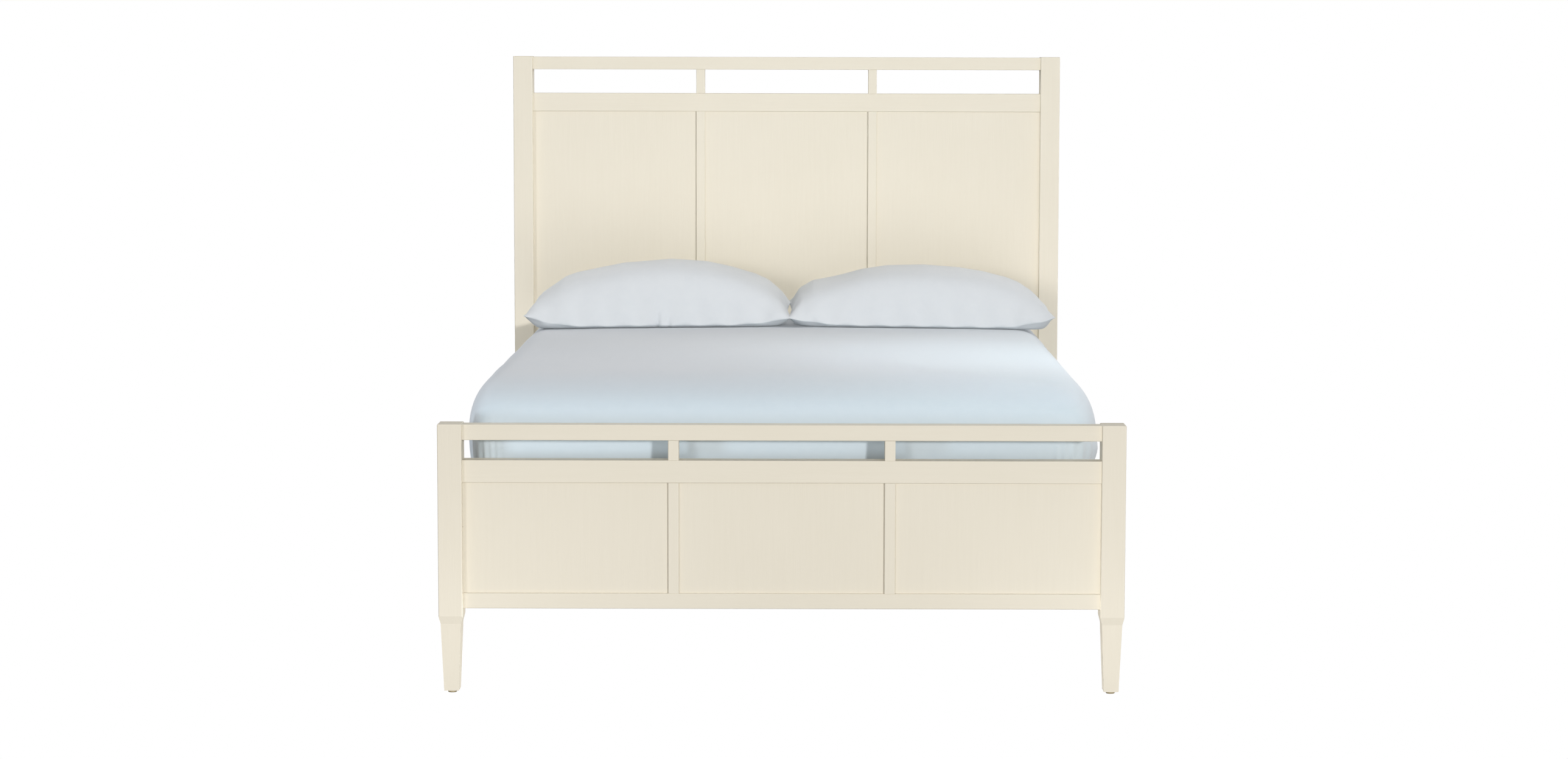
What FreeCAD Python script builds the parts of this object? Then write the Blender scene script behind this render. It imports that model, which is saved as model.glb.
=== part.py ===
"""Queen size panel bed in painted wood, made up with box spring, mattress and pillows.

Millimetres, +Z up. The origin lies on the floor under the middle of the bed, +X is the
right side seen from the foot, and +Y runs from the footboard to the headboard.
"""
import FreeCAD
import Part
import Sketcher
import math
import os
from types import SimpleNamespace

SIZES = {
    # Box spring, whose room inside the rails and boards sets the width and length of the bed
    "box_spring_width": 1524.0,
    "box_spring_length": 2032.0,
    "box_spring_side_room": 41.0,
    "box_spring_end_room": 24.0,
    "box_spring_height": 229.0,
    "box_spring_corner": 60.0,
    "box_spring_easing": 12.0,
    # Heights of the boards, and of the undersides of their bottom rails and of the side rails
    "headboard_height": 1562.0,
    "footboard_height": 665.0,
    "rail_level": 211.0,
    # Posts with a chamfered shoulder and a tapered foot
    "post_width": 59.0,
    "post_depth": 70.0,
    "post_easing": 2.5,
    "shoulder_drop": 18.0,
    "shoulder_height": 19.0,
    "shoulder_step": 4.7,
    "foot_taper": 6.8,
    # Rails, stiles and spacers of the two boards
    "rail_thickness": 45.0,
    "rail_easing": 2.0,
    "rail_drop": 1.5,
    "top_rail_height": 38.5,
    "mid_rail_height": 55.5,
    "footboard_slot_height": 48.5,
    "headboard_slot_height": 72.5,
    "footboard_bottom_rail_height": 38.0,
    "headboard_bottom_rail_height": 90.0,
    "stile_width": 26.0,
    # Panels in grooves, tenons in mortises
    "panel_thickness": 22.0,
    "panel_recess": 6.0,
    "panel_gap": 1.5,
    "groove_depth": 9.0,
    "groove_slack": 0.3,
    "tenon_length": 30.0,
    "tenon_thickness": 20.0,
    "tenon_margin": 1.0,
    "tenon_slack": 0.2,
    "mortise_room": 1.0,
    "stub_length": 12.0,
    "stub_shoulder": 5.0,
    # Side rails with the ledgers that carry the slats
    "side_rail_thickness": 25.0,
    "side_rail_height": 165.0,
    "side_rail_inset": 10.0,
    "ledger_thickness": 25.0,
    "ledger_height": 38.0,
    "ledger_lift": 10.0,
    "ledger_end_gap": 30.0,
    "slat_width": 89.0,
    "slat_thickness": 19.0,
    "slat_end_gap": 4.0,
    "slat_inset": 180.0,
    "slat_easing": 3.0,
    # Hook plates in the rail ends and slotted plates in the posts
    "plate_width": 18.0,
    "plate_height": 130.0,
    "plate_thickness": 2.5,
    "plate_slack": 0.2,
    "hook_thickness": 3.0,
    "hook_neck": 14.0,
    "hook_lip": 9.0,
    "hook_lip_thickness": 4.0,
    "hook_spacing": 56.0,
    "hook_slack": 0.5,
    "plate_screw_edge": 10.0,
    # Centre beam, its hangers and its leg
    "beam_width": 57.0,
    "beam_height": 38.0,
    "beam_slack": 0.5,
    "hanger_thickness": 3.0,
    "hanger_depth": 32.0,
    "hanger_height": 24.0,
    "hanger_flange": 22.0,
    "leg_width": 45.0,
    "spigot_diameter": 20.0,
    "spigot_length": 20.0,
    "spigot_slack": 0.1,
    # Levelling glides: a round pad on a threaded stem in an insert
    "glide_diameter": 22.0,
    "glide_height": 7.0,
    "glide_floor": 2.5,
    "glide_easing": 1.2,
    "stem_diameter": 7.8,
    "stem_length": 40.0,
    "stem_slack": 0.3,
    "stem_press_slack": 0.05,
    "insert_diameter": 12.0,
    "insert_length": 22.0,
    "insert_slack": 0.1,
    # Round-headed wood screws
    "screw_diameter": 4.5,
    "screw_slack": 0.15,
    "screw_head_diameter": 9.0,
    "screw_head_height": 2.8,
    "plate_screw_head_height": 1.5,
    "ledger_screw_length": 40.0,
    "slat_screw_length": 34.0,
    "hanger_screw_length": 25.0,
    "plate_screw_length": 24.0,
    # Mattress and the fitted sheet over it
    "mattress_side_overhang": 8.0,
    "mattress_end_overhang": 4.0,
    "mattress_height": 250.0,
    "mattress_crown": 10.0,
    "mattress_corner": 100.0,
    "mattress_shoulder": 75.0,
    "mattress_heel": 25.0,
    "sheet_thickness": 1.5,
    "sheet_slack": 0.3,
    "sheet_hem_lift": 30.0,
    # Pillows side by side against the headboard
    "pillow_width": 780.0,
    "pillow_depth": 470.0,
    "pillow_left_height": 190.0,
    "pillow_right_height": 176.0,
    "pillow_seam_height": 32.0,
    "pillow_draw": 14.0,
    "pillow_gap": 3.0,
    "pillow_offset": 12.0,
    "pillow_head_gap": 30.0,
    "pillow_slack": 0.4,
}
SLAT_COUNT = 5
LEDGER_SCREW_COUNT = 4
PANEL_COUNT = 3
LEG_PLACE_SHARE = 0.08
END_SCREW_SHARE = 0.47
LEDGER_SCREW_HEIGHT_SHARE = 0.3
# Pillow sections from the middle to an end: place along the width, crown height over the
# seam, width of the flat underside and lift of the underside towards the seam.
PILLOW_SECTION_SHARES = (
    (0.0, 1.0, 0.62, 0.0),
    (0.44, 0.88, 0.58, 0.05),
    (0.72, 0.66, 0.48, 0.22),
    (0.9, 0.29, 0.32, 0.6),
    (1.0, 0.05, 0.15, 0.88),
)
LEFT = -1
RIGHT = 1
FOOT = -1
HEAD = 1
SIDE_NAMES = {LEFT: "left", RIGHT: "right"}
END_NAMES = {FOOT: "footboard", HEAD: "headboard"}
FULL_TURN = 360.0
QUARTER_TURN = 90.0
NEAR = 1e-4


class Size:
    """A length that carries its value and the sheet expression that gives it."""

    def __init__(self, value, text):
        self.value = value
        self.text = text

    def __add__(self, other):
        return Size(self.value + other.value, f"({self.text} + {other.text})")

    def __sub__(self, other):
        return Size(self.value - other.value, f"({self.text} - {other.text})")

    def __neg__(self):
        return Size(-self.value, f"(-1 * {self.text})")

    def __mul__(self, factor):
        if isinstance(factor, Size):
            return Size(self.value * factor.value, f"({self.text} * {factor.text})")
        return Size(self.value * factor, f"({self.text} * {factor})")

    def __truediv__(self, factor):
        if isinstance(factor, Size):
            return Size(self.value / factor.value, f"({self.text} / {factor.text})")
        return Size(self.value / factor, f"({self.text} / {factor})")


ZERO = Size(0.0, "0")
dim = SimpleNamespace(**{name: Size(value, f"Sizes.{name}") for name, value in SIZES.items()})
doc = FreeCAD.newDocument("PanelBed")
nodes = []


def fill_sheet():
    """Write the driving dimensions into the spreadsheet, each with its alias."""
    sheet = doc.addObject("Spreadsheet::Sheet", "Sizes")
    for row, (name, value) in enumerate(SIZES.items(), 1):
        sheet.set(f"A{row}", name)
        sheet.set(f"B{row}", str(value))
        sheet.setAlias(f"B{row}", name)
    doc.recompute()


def new_body(label):
    """Start a body under its own label."""
    body = doc.addObject("PartDesign::Body", label)
    body.Label = label
    return body


def as_node(piece):
    """Mark a finished piece as one that is written out."""
    nodes.append(piece)
    return piece


def group(label, pieces):
    """Gather identical small pieces in one node."""
    compound = doc.addObject("Part::Compound", label)
    compound.Label = label
    compound.Links = pieces
    return as_node(compound)


def place(body, x=ZERO, y=ZERO, z=ZERO):
    """Tie the place of a body's own origin to the sheet."""
    for axis, size in zip("xyz", (x, y, z)):
        body.setExpression(f"Placement.Base.{axis}", size.text)


def turn_to(body, axis, angle):
    """Turn a body about one of the bed's axes."""
    body.Placement = FreeCAD.Placement(FreeCAD.Vector(), FreeCAD.Rotation(axis, angle))


def ordered(first, second):
    """Two sizes, the lower one first."""
    return sorted((first, second), key=lambda size: size.value)


def sketch_on(body, plane, level, draw):
    """A sketch on one of the body's origin planes, moved to a level along its axis."""
    sketch = body.newObject("Sketcher::SketchObject", "Sketch")
    support = next(f for f in body.Origin.OriginFeatures if f.Role == f"{plane}_Plane")
    sketch.AttachmentSupport = [(support, "")]
    sketch.MapMode = "FlatFace"
    # The sketch normal points to +Z on XY, to +X on YZ and to -Y on XZ.
    offset = -level if plane == "XZ" else level
    sketch.setExpression("AttachmentOffset.Base.z", offset.text)
    draw(sketch)
    return sketch


def tie_point(sketch, geometry, point, u, v):
    """Tie a sketch point to its two coordinates."""
    for kind, size, axis in (("DistanceX", u, -2), ("DistanceY", v, -1)):
        if size.value == 0:
            sketch.addConstraint(Sketcher.Constraint("PointOnObject", geometry, point, axis))
            continue
        constraint = Sketcher.Constraint(kind, -1, 1, geometry, point, size.value)
        index = sketch.addConstraint(constraint)
        sketch.setExpression(f"Constraints[{index}]", size.text)


def vector(u, v):
    """A sketch point from two sizes."""
    return FreeCAD.Vector(u.value, v.value, 0)


def polygon(points):
    """Drawing of a closed outline with straight edges through the points."""

    def draw(sketch):
        first, count = sketch.GeometryCount, len(points)
        for start, end in zip(points, points[1:] + points[:1]):
            sketch.addGeometry(Part.LineSegment(vector(*start), vector(*end)), False)
        for edge in range(count):
            here, following = first + edge, first + (edge + 1) % count
            sketch.addConstraint(Sketcher.Constraint("Coincident", here, 2, following, 1))
        for edge, (u, v) in enumerate(points, first):
            tie_point(sketch, edge, 1, u, v)

    return draw


def box(u_low, u_high, v_low, v_high):
    """Drawing of a rectangle between two pairs of limits."""
    return polygon([(u_low, v_low), (u_high, v_low), (u_high, v_high), (u_low, v_high)])


def centred_box(width, depth):
    """Drawing of a rectangle about the origin."""
    return box(-width / 2, width / 2, -depth / 2, depth / 2)


def ring(u, v, diameter):
    """Drawing of a circle."""

    def draw(sketch):
        circle = Part.Circle(vector(u, v), FreeCAD.Vector(0, 0, 1), diameter.value / 2)
        number = sketch.addGeometry(circle, False)
        tie_point(sketch, number, 3, u, v)
        index = sketch.addConstraint(Sketcher.Constraint("Diameter", number, diameter.value))
        sketch.setExpression(f"Constraints[{index}]", diameter.text)

    return draw


def together(drawings):
    """Drawing of several separate outlines in one sketch."""

    def draw(sketch):
        for drawing in drawings:
            drawing(sketch)

    return draw


def pad(body, plane, draw, low, high):
    """Add the drawn shape between two levels across its plane."""
    sketch = sketch_on(body, plane, high if plane == "XZ" else low, draw)
    feature = body.newObject("PartDesign::Pad", "Pad")
    feature.Profile = sketch
    feature.setExpression("Length", (high - low).text)
    return feature


def cut(body, plane, draw, low, high):
    """Take the drawn shape away between two levels across its plane."""
    sketch = sketch_on(body, plane, low if plane == "XZ" else high, draw)
    feature = body.newObject("PartDesign::Pocket", "Pocket")
    feature.Profile = sketch
    feature.setExpression("Length", (high - low).text)
    return feature


def turning(body, points):
    """A turned piece about the body's Z axis from points of radius and height."""
    sketch = sketch_on(body, "XZ", ZERO, polygon(points))
    feature = body.newObject("PartDesign::Revolution", "Turning")
    feature.Profile = sketch
    feature.ReferenceAxis = (sketch, ["V_Axis"])
    feature.Angle = FULL_TURN
    return feature


def loft(body, sketches, ruled):
    """Join sketched sections into one form."""
    feature = body.newObject("PartDesign::AdditiveLoft", "Loft")
    feature.Profile = sketches[0]
    feature.Sections = sketches[1:]
    feature.Ruled = ruled
    return feature


def ease(body, radius, wanted):
    """Round the edges of the form so far that the test picks out."""
    doc.recompute([body])
    base = body.Tip
    edges = base.Shape.Edges
    names = [f"Edge{number}" for number, edge in enumerate(edges, 1) if wanted(edge)]
    fillet = body.newObject("PartDesign::Fillet", "Easing")
    fillet.Base = (base, names)
    fillet.setExpression("Radius", radius.text)
    return fillet


def runs_along(axis):
    """Test for a straight edge along X, Y or Z."""

    def wanted(edge):
        if not isinstance(edge.Curve, Part.Line):
            return False
        return abs(abs(getattr(edge.Curve.Direction, axis)) - 1) < NEAR

    return wanted


def lies_at(level):
    """Test for an edge that lies in a level plane."""

    def wanted(edge):
        return all(abs(vertex.Z - level.value) < NEAR for vertex in edge.Vertexes)

    return wanted


def borders(face):
    """Test for an edge of a face."""

    def wanted(edge):
        return any(edge.isSame(other) for other in face.Edges)

    return wanted


def highest_face(body):
    """The face whose middle lies highest on the form so far."""
    doc.recompute([body])
    return max(body.Tip.Shape.Faces, key=lambda face: face.CenterOfMass.z)


def lowest_face(body):
    """The face whose middle lies lowest on the form so far."""
    doc.recompute([body])
    return min(body.Tip.Shape.Faces, key=lambda face: face.CenterOfMass.z)


# Sizes that follow from the driving ones
side_rail_reach = dim.side_rail_inset + dim.side_rail_thickness
bed_width = dim.box_spring_width + (dim.box_spring_side_room + side_rail_reach) * 2
clear_length = dim.box_spring_length + dim.box_spring_end_room * 2
mattress_width = dim.box_spring_width + dim.mattress_side_overhang * 2
mattress_length = dim.box_spring_length + dim.mattress_end_overhang * 2
shoulder_level = dim.rail_level - dim.shoulder_drop
clear_width = bed_width - dim.post_width * 2
panel_opening = (clear_width - dim.stile_width * (PANEL_COUNT - 1)) / PANEL_COUNT
stile_place = (panel_opening + dim.stile_width) / 2
tenon_shoulder = dim.groove_depth + dim.tenon_margin
panel_reach = dim.groove_depth - dim.panel_gap
groove_half = dim.panel_thickness / 2 + dim.groove_slack
panel_middle = dim.panel_recess + (dim.panel_thickness - dim.rail_thickness) / 2
groove_front = panel_middle - groove_half
groove_back = panel_middle + groove_half
post_x = (bed_width - dim.post_width) / 2
board_y = (clear_length + dim.post_depth) / 2
rail_face_y = board_y - dim.rail_thickness / 2
side_rail_x = bed_width / 2 - dim.side_rail_inset - dim.side_rail_thickness / 2
ledger_x = side_rail_x - (dim.side_rail_thickness + dim.ledger_thickness) / 2
ledger_level = dim.rail_level + dim.ledger_lift
ledger_length = clear_length - dim.ledger_end_gap * 2
ledger_screw_height = dim.ledger_height * LEDGER_SCREW_HEIGHT_SHARE
slat_level = ledger_level + dim.ledger_height
beam_level = slat_level - dim.beam_height
box_spring_level = slat_level + dim.slat_thickness
mattress_level = box_spring_level + dim.box_spring_height
plate_level = dim.rail_level + dim.side_rail_height / 2
pilot_diameter = dim.screw_diameter + dim.screw_slack * 2
hanger_reach = dim.beam_width / 2 + dim.beam_slack + dim.hanger_thickness
hanger_screw_x = hanger_reach + dim.hanger_flange / 2
hanger_screw_z = dim.hanger_height / 2
leg_y = clear_length * LEG_PLACE_SHARE
bore_diameter = dim.stem_diameter + dim.stem_slack * 2


def board_levels(end):
    """Heights of the rails of the headboard or the footboard."""
    height = dim.headboard_height if end == HEAD else dim.footboard_height
    slot = dim.headboard_slot_height if end == HEAD else dim.footboard_slot_height
    bottom = dim.footboard_bottom_rail_height
    if end == HEAD:
        bottom = dim.headboard_bottom_rail_height
    top_rail = height - dim.rail_drop - dim.top_rail_height
    mid_rail = top_rail - slot - dim.mid_rail_height
    return SimpleNamespace(
        height=height,
        slot=slot,
        top_rail=top_rail,
        mid_rail=mid_rail,
        bottom_rail_height=bottom,
        panel_low=dim.rail_level + bottom,
        panel_height=mid_rail - dim.rail_level - bottom,
    )


def screw_heights():
    """Heights of the two screws of a plate above and below its middle."""
    reach = dim.plate_height / 2 - dim.plate_screw_edge
    return -reach, reach


def hook_heights():
    """Heights of the two hook necks of a plate above and below its middle."""
    return -dim.hook_spacing / 2, dim.hook_spacing / 2


def insert_bore(body):
    """Bore a foot from below for its threaded insert and the stem above it."""
    wide = dim.insert_diameter + dim.insert_slack * 2
    deep = dim.glide_height + dim.stem_length
    cut(body, "XY", ring(ZERO, ZERO, wide), dim.glide_height, dim.glide_height + dim.insert_length)
    cut(body, "XY", ring(ZERO, ZERO, bore_diameter), dim.glide_height, deep)


def post(side, end):
    """Corner post with its tapered foot, its mortises and its slotted plate's recess."""
    levels = board_levels(end)
    body = new_body(f"{END_NAMES[end]}_post_{SIDE_NAMES[side]}")
    width, depth = dim.post_width, dim.post_depth
    pad(body, "XY", centred_box(width, depth), shoulder_level, levels.height)
    shoulder_end = shoulder_level - dim.shoulder_height
    steps = ((shoulder_level, ZERO), (shoulder_end, dim.shoulder_step))
    steps += ((dim.glide_height, dim.shoulder_step + dim.foot_taper),)
    sections = []
    for level, inset in steps:
        section = centred_box(width - inset * 2, depth - inset * 2)
        sections.append(sketch_on(body, "XY", level, section))
    loft(body, sections, ruled=True)
    upright, on_top = runs_along("z"), lies_at(levels.height)
    ease(body, dim.post_easing, lambda edge: upright(edge) or on_top(edge))

    inner_face = width / 2 * -side
    mortise_end = (width / 2 - dim.tenon_length - dim.mortise_room) * -side
    mortise_half = dim.tenon_thickness / 2 + dim.tenon_slack
    rails = ((levels.top_rail, dim.top_rail_height), (levels.mid_rail, dim.mid_rail_height))
    rails += ((dim.rail_level, levels.bottom_rail_height),)
    mouths = []
    for level, height in rails:
        low = level + tenon_shoulder - dim.tenon_slack
        high = level + height - tenon_shoulder + dim.tenon_slack
        mouths.append(box(-mortise_half, mortise_half, low, high))
    cut(body, "YZ", together(mouths), *ordered(inner_face, mortise_end))
    groove = box(
        groove_front,
        groove_back,
        levels.panel_low - dim.groove_depth,
        levels.mid_rail + dim.groove_depth,
    )
    groove_end = (width / 2 - dim.groove_depth) * -side
    cut(body, "YZ", groove, *ordered(inner_face, groove_end))

    plate_x = (side_rail_x - post_x) * side
    bed_face = depth / 2 * -end
    recess_floor = (depth / 2 - dim.plate_thickness) * -end
    half = dim.plate_width / 2 + dim.plate_slack
    tall = dim.plate_height / 2 + dim.plate_slack
    recess = box(plate_x - half, plate_x + half, plate_level - tall, plate_level + tall)
    cut(body, "XZ", recess, *ordered(bed_face, recess_floor))
    pocket_half = dim.hook_thickness / 2 + dim.hook_slack
    reach = dim.plate_thickness + dim.hook_slack + dim.hook_lip_thickness + dim.hook_slack
    pocket_end = (depth / 2 - reach) * -end
    pockets = []
    for height in hook_heights():
        low = plate_level + height - dim.hook_lip - dim.hook_slack
        high = plate_level + height + dim.hook_neck + dim.hook_lip + dim.hook_slack
        pockets.append(box(plate_x - pocket_half, plate_x + pocket_half, low, high))
    cut(body, "XZ", together(pockets), *ordered(recess_floor, pocket_end))
    pilot_end = (depth / 2 - dim.plate_thickness - dim.plate_screw_length) * -end
    pilots = [ring(plate_x, plate_level + height, pilot_diameter) for height in screw_heights()]
    cut(body, "XZ", together(pilots), *ordered(recess_floor, pilot_end))
    insert_bore(body)
    place(body, post_x * side, board_y * end)
    return as_node(body)


def rail_blank(label, height):
    """Rail with eased long edges and a tenon at each end."""
    body = new_body(label)
    half = dim.rail_thickness / 2
    end = clear_width / 2
    pad(body, "YZ", box(-half, half, ZERO, height), -end, end)
    ease(body, dim.rail_easing, runs_along("x"))
    tenon_half = dim.tenon_thickness / 2
    tenon = box(-tenon_half, tenon_half, tenon_shoulder, height - tenon_shoulder)
    pad(body, "YZ", tenon, -end - dim.tenon_length, end + dim.tenon_length)
    return body


def stub_mortises(body, low, high):
    """Two mortises in a rail's edge for the spacers of the open slot."""
    half_width = dim.stile_width / 2 - dim.stub_shoulder + dim.tenon_slack
    half_depth = dim.tenon_thickness / 2 + dim.tenon_slack
    mouths = []
    for middle in (-stile_place, stile_place):
        mouths.append(box(middle - half_width, middle + half_width, -half_depth, half_depth))
    cut(body, "XY", together(mouths), low, high)


def panel_groove(body, low, high):
    """Groove along a rail's edge for the panels and the stiles' stubs."""
    groove = box(-clear_width / 2, clear_width / 2, groove_front, groove_back)
    cut(body, "XY", groove, low, high)


def hanger_pilots(body, end):
    """Pilot holes in a bottom rail's bed side for the beam hanger's screws."""
    face = dim.rail_thickness / 2 * -end
    floor = (dim.rail_thickness / 2 - dim.hanger_screw_length) * -end
    height = beam_level - dim.rail_level + hanger_screw_z
    pilots = [ring(x, height, pilot_diameter) for x in (-hanger_screw_x, hanger_screw_x)]
    cut(body, "XZ", together(pilots), *ordered(face, floor))


def rails(end):
    """Top, middle and bottom rails of one board."""
    levels = board_levels(end)
    name = END_NAMES[end]
    deep = dim.stub_length + dim.mortise_room
    top = rail_blank(f"{name}_top_rail", dim.top_rail_height)
    stub_mortises(top, ZERO, deep)
    place(top, y=board_y * end, z=levels.top_rail)
    mid = rail_blank(f"{name}_mid_rail", dim.mid_rail_height)
    stub_mortises(mid, dim.mid_rail_height - deep, dim.mid_rail_height)
    panel_groove(mid, ZERO, dim.groove_depth)
    place(mid, y=board_y * end, z=levels.mid_rail)
    bottom = rail_blank(f"{name}_bottom_rail", levels.bottom_rail_height)
    panel_groove(bottom, levels.bottom_rail_height - dim.groove_depth, levels.bottom_rail_height)
    hanger_pilots(bottom, end)
    place(bottom, y=board_y * end, z=dim.rail_level)
    for body in (top, mid, bottom):
        as_node(body)


def upright(label, length, stub_half, stub_depth, stub_length, stub_middle=ZERO):
    """Short upright between two rails, with a stub tenon at each end."""
    body = new_body(label)
    pad(body, "XY", centred_box(dim.stile_width, dim.rail_thickness), ZERO, length)
    ease(body, dim.rail_easing, runs_along("z"))
    stub_front, stub_back = stub_middle - stub_depth / 2, stub_middle + stub_depth / 2
    stub = box(-stub_half, stub_half, stub_front, stub_back)
    pad(body, "XY", stub, -stub_length, length + stub_length)
    return as_node(body)


def spacer(side, end):
    """Spacer across the open slot under the top rail."""
    levels = board_levels(end)
    label = f"{END_NAMES[end]}_spacer_{SIDE_NAMES[side]}"
    stub_half = dim.stile_width / 2 - dim.stub_shoulder
    body = upright(label, levels.slot, stub_half, dim.tenon_thickness, dim.stub_length)
    place(body, stile_place * side, board_y * end, levels.mid_rail + dim.mid_rail_height)


def stile(side, end):
    """Stile between two panels, grooved on both sides for their edges."""
    levels = board_levels(end)
    label = f"{END_NAMES[end]}_stile_{SIDE_NAMES[side]}"
    web_half = dim.stile_width / 2 - dim.groove_depth
    tongue = dim.panel_thickness
    body = upright(label, levels.panel_height, web_half, tongue, panel_reach, panel_middle)
    low, high = -panel_reach, levels.panel_height + panel_reach
    groove = box(groove_front, groove_back, low, high)
    for direction in (LEFT, RIGHT):
        face, floor = dim.stile_width / 2 * direction, web_half * direction
        cut(body, "YZ", groove, *ordered(face, floor))
    place(body, stile_place * side, board_y * end, levels.panel_low)


def panels(end):
    """Three flat panels that float in the grooves of one board."""
    levels = board_levels(end)
    half_width = panel_opening / 2 + panel_reach
    front = panel_middle - dim.panel_thickness / 2
    shape = box(-half_width, half_width, -panel_reach, levels.panel_height + panel_reach)
    pitch = panel_opening + dim.stile_width
    for step, name in ((LEFT, "left"), (0, "centre"), (RIGHT, "right")):
        body = new_body(f"{END_NAMES[end]}_panel_{name}")
        pad(body, "XZ", shape, front, front + dim.panel_thickness)
        place(body, pitch * step, board_y * end, levels.panel_low)
        as_node(body)


def ledger_screw_places():
    """Places along the bed of the screws that hold a ledger."""
    reach = ledger_length * END_SCREW_SHARE
    steps = LEDGER_SCREW_COUNT - 1
    return [reach * (2 * step / steps - 1) for step in range(LEDGER_SCREW_COUNT)]


def slat_places():
    """Places along the bed of the slats."""
    reach = clear_length / 2 - dim.slat_inset
    steps = SLAT_COUNT - 1
    return [reach * (2 * step / steps - 1) for step in range(SLAT_COUNT)]


def side_rail(side):
    """Side rail between two posts, recessed at its ends for the hook plates."""
    body = new_body(f"side_rail_{SIDE_NAMES[side]}")
    half, height, end = dim.side_rail_thickness / 2, dim.side_rail_height, clear_length / 2
    pad(body, "XZ", box(-half, half, ZERO, height), -end, end)
    ease(body, dim.rail_easing, runs_along("y"))
    recess_half = dim.plate_width / 2 + dim.plate_slack
    middle, tall = height / 2, dim.plate_height / 2 + dim.plate_slack
    recess = box(-recess_half, recess_half, middle - tall, middle + tall)
    for direction in (FOOT, HEAD):
        floor = (end - dim.plate_thickness) * direction
        cut(body, "XZ", recess, *ordered(end * direction, floor))
        pilot_end = (end - dim.plate_thickness - dim.plate_screw_length) * direction
        pilots = [ring(ZERO, middle + level, pilot_diameter) for level in screw_heights()]
        cut(body, "XZ", together(pilots), *ordered(floor, pilot_end))
    inner_face = half * -side
    pilot_end = (half - dim.ledger_screw_length + dim.ledger_thickness) * -side
    screw_level = dim.ledger_lift + ledger_screw_height
    pilots = [ring(y, screw_level, pilot_diameter) for y in ledger_screw_places()]
    cut(body, "YZ", together(pilots), *ordered(inner_face, pilot_end))
    place(body, side_rail_x * side, z=dim.rail_level)
    return as_node(body)


def ledger(side):
    """Ledger strip on the inside of a side rail, under the slats' ends."""
    body = new_body(f"slat_ledger_{SIDE_NAMES[side]}")
    half, height, end = dim.ledger_thickness / 2, dim.ledger_height, ledger_length / 2
    pad(body, "XZ", box(-half, half, ZERO, height), -end, end)
    holes = [ring(y, ledger_screw_height, pilot_diameter) for y in ledger_screw_places()]
    cut(body, "YZ", together(holes), -half, half)
    pilot_depth = dim.slat_screw_length - dim.slat_thickness
    pilots = [ring(ZERO, y, pilot_diameter) for y in slat_places()]
    cut(body, "XY", together(pilots), height - pilot_depth, height)
    place(body, ledger_x * side, z=ledger_level)
    return as_node(body)


def slat(number, y):
    """Support slat across the bed on both ledgers and the centre beam."""
    body = new_body(f"slat_{number}")
    end = side_rail_x - dim.side_rail_thickness / 2 - dim.slat_end_gap
    half = dim.slat_width / 2
    pad(body, "YZ", box(-half, half, ZERO, dim.slat_thickness), -end, end)
    on_top, along = lies_at(dim.slat_thickness), runs_along("x")
    ease(body, dim.slat_easing, lambda edge: on_top(edge) and along(edge))
    holes = [ring(x, ZERO, pilot_diameter) for x in (-ledger_x, ledger_x)]
    cut(body, "XY", together(holes), ZERO, dim.slat_thickness)
    place(body, y=y, z=slat_level)
    return as_node(body)


def hook_plate(side, end):
    """Plate in a side rail's end with two hooks that drop into the post's plate."""
    body = new_body("hook_plate")
    half, tall = dim.plate_width / 2, dim.plate_height / 2
    back = dim.plate_thickness * -end
    pad(body, "XZ", box(-half, half, -tall, tall), *ordered(ZERO, back))
    lip_start = (dim.plate_thickness + dim.hook_slack) * end
    lip_end = (dim.plate_thickness + dim.hook_slack + dim.hook_lip_thickness) * end
    hook_half = dim.hook_thickness / 2
    hooks = []
    for height in hook_heights():
        hooks.append(polygon([
            (ZERO, height),
            (ZERO, height + dim.hook_neck),
            (lip_end, height + dim.hook_neck),
            (lip_end, height - dim.hook_lip),
            (lip_start, height - dim.hook_lip),
            (lip_start, height),
        ]))
    pad(body, "YZ", together(hooks), -hook_half, hook_half)
    screw_holes(body, ZERO, back, end)
    place(body, side_rail_x * side, clear_length / 2 * end, plate_level)
    return body


def slot_plate(side, end):
    """Plate in a post's face with two slots for the hooks."""
    body = new_body("slot_plate")
    half, tall = dim.plate_width / 2, dim.plate_height / 2
    back = dim.plate_thickness * end
    pad(body, "XZ", box(-half, half, -tall, tall), *ordered(ZERO, back))
    slot_half = dim.hook_thickness / 2 + dim.hook_slack / 2
    slots = []
    for height in hook_heights():
        top = height + dim.hook_neck + dim.hook_lip
        slots.append(box(-slot_half, slot_half, height, top))
    cut(body, "XZ", together(slots), *ordered(ZERO, back))
    screw_holes(body, ZERO, back, -end)
    place(body, side_rail_x * side, clear_length / 2 * end, plate_level)
    return body


def screw_holes(body, face, back, outward):
    """Two screw holes through a plate, each with a seat that sinks the head flush."""
    seat = dim.screw_head_diameter + dim.screw_slack * 2
    seat_floor = face - dim.plate_screw_head_height * outward
    seats = [ring(ZERO, height, seat) for height in screw_heights()]
    cut(body, "XZ", together(seats), *ordered(face, seat_floor))
    holes = [ring(ZERO, height, pilot_diameter) for height in screw_heights()]
    cut(body, "XZ", together(holes), *ordered(seat_floor, back))


def screw(length, head_height):
    """Round-headed screw along -Z with the underside of its head at the origin."""
    body = new_body("screw")
    shank, head = dim.screw_diameter / 2, dim.screw_head_diameter / 2
    turning(body, [
        (ZERO, -length),
        (shank, -length),
        (shank, ZERO),
        (head, ZERO),
        (head, head_height),
        (ZERO, head_height),
    ])
    return body


def aim(body, axis, angle, x, y, z):
    """Turn a screw and put the underside of its head in place."""
    turn_to(body, axis, angle)
    place(body, x, y, z)
    return body


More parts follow.
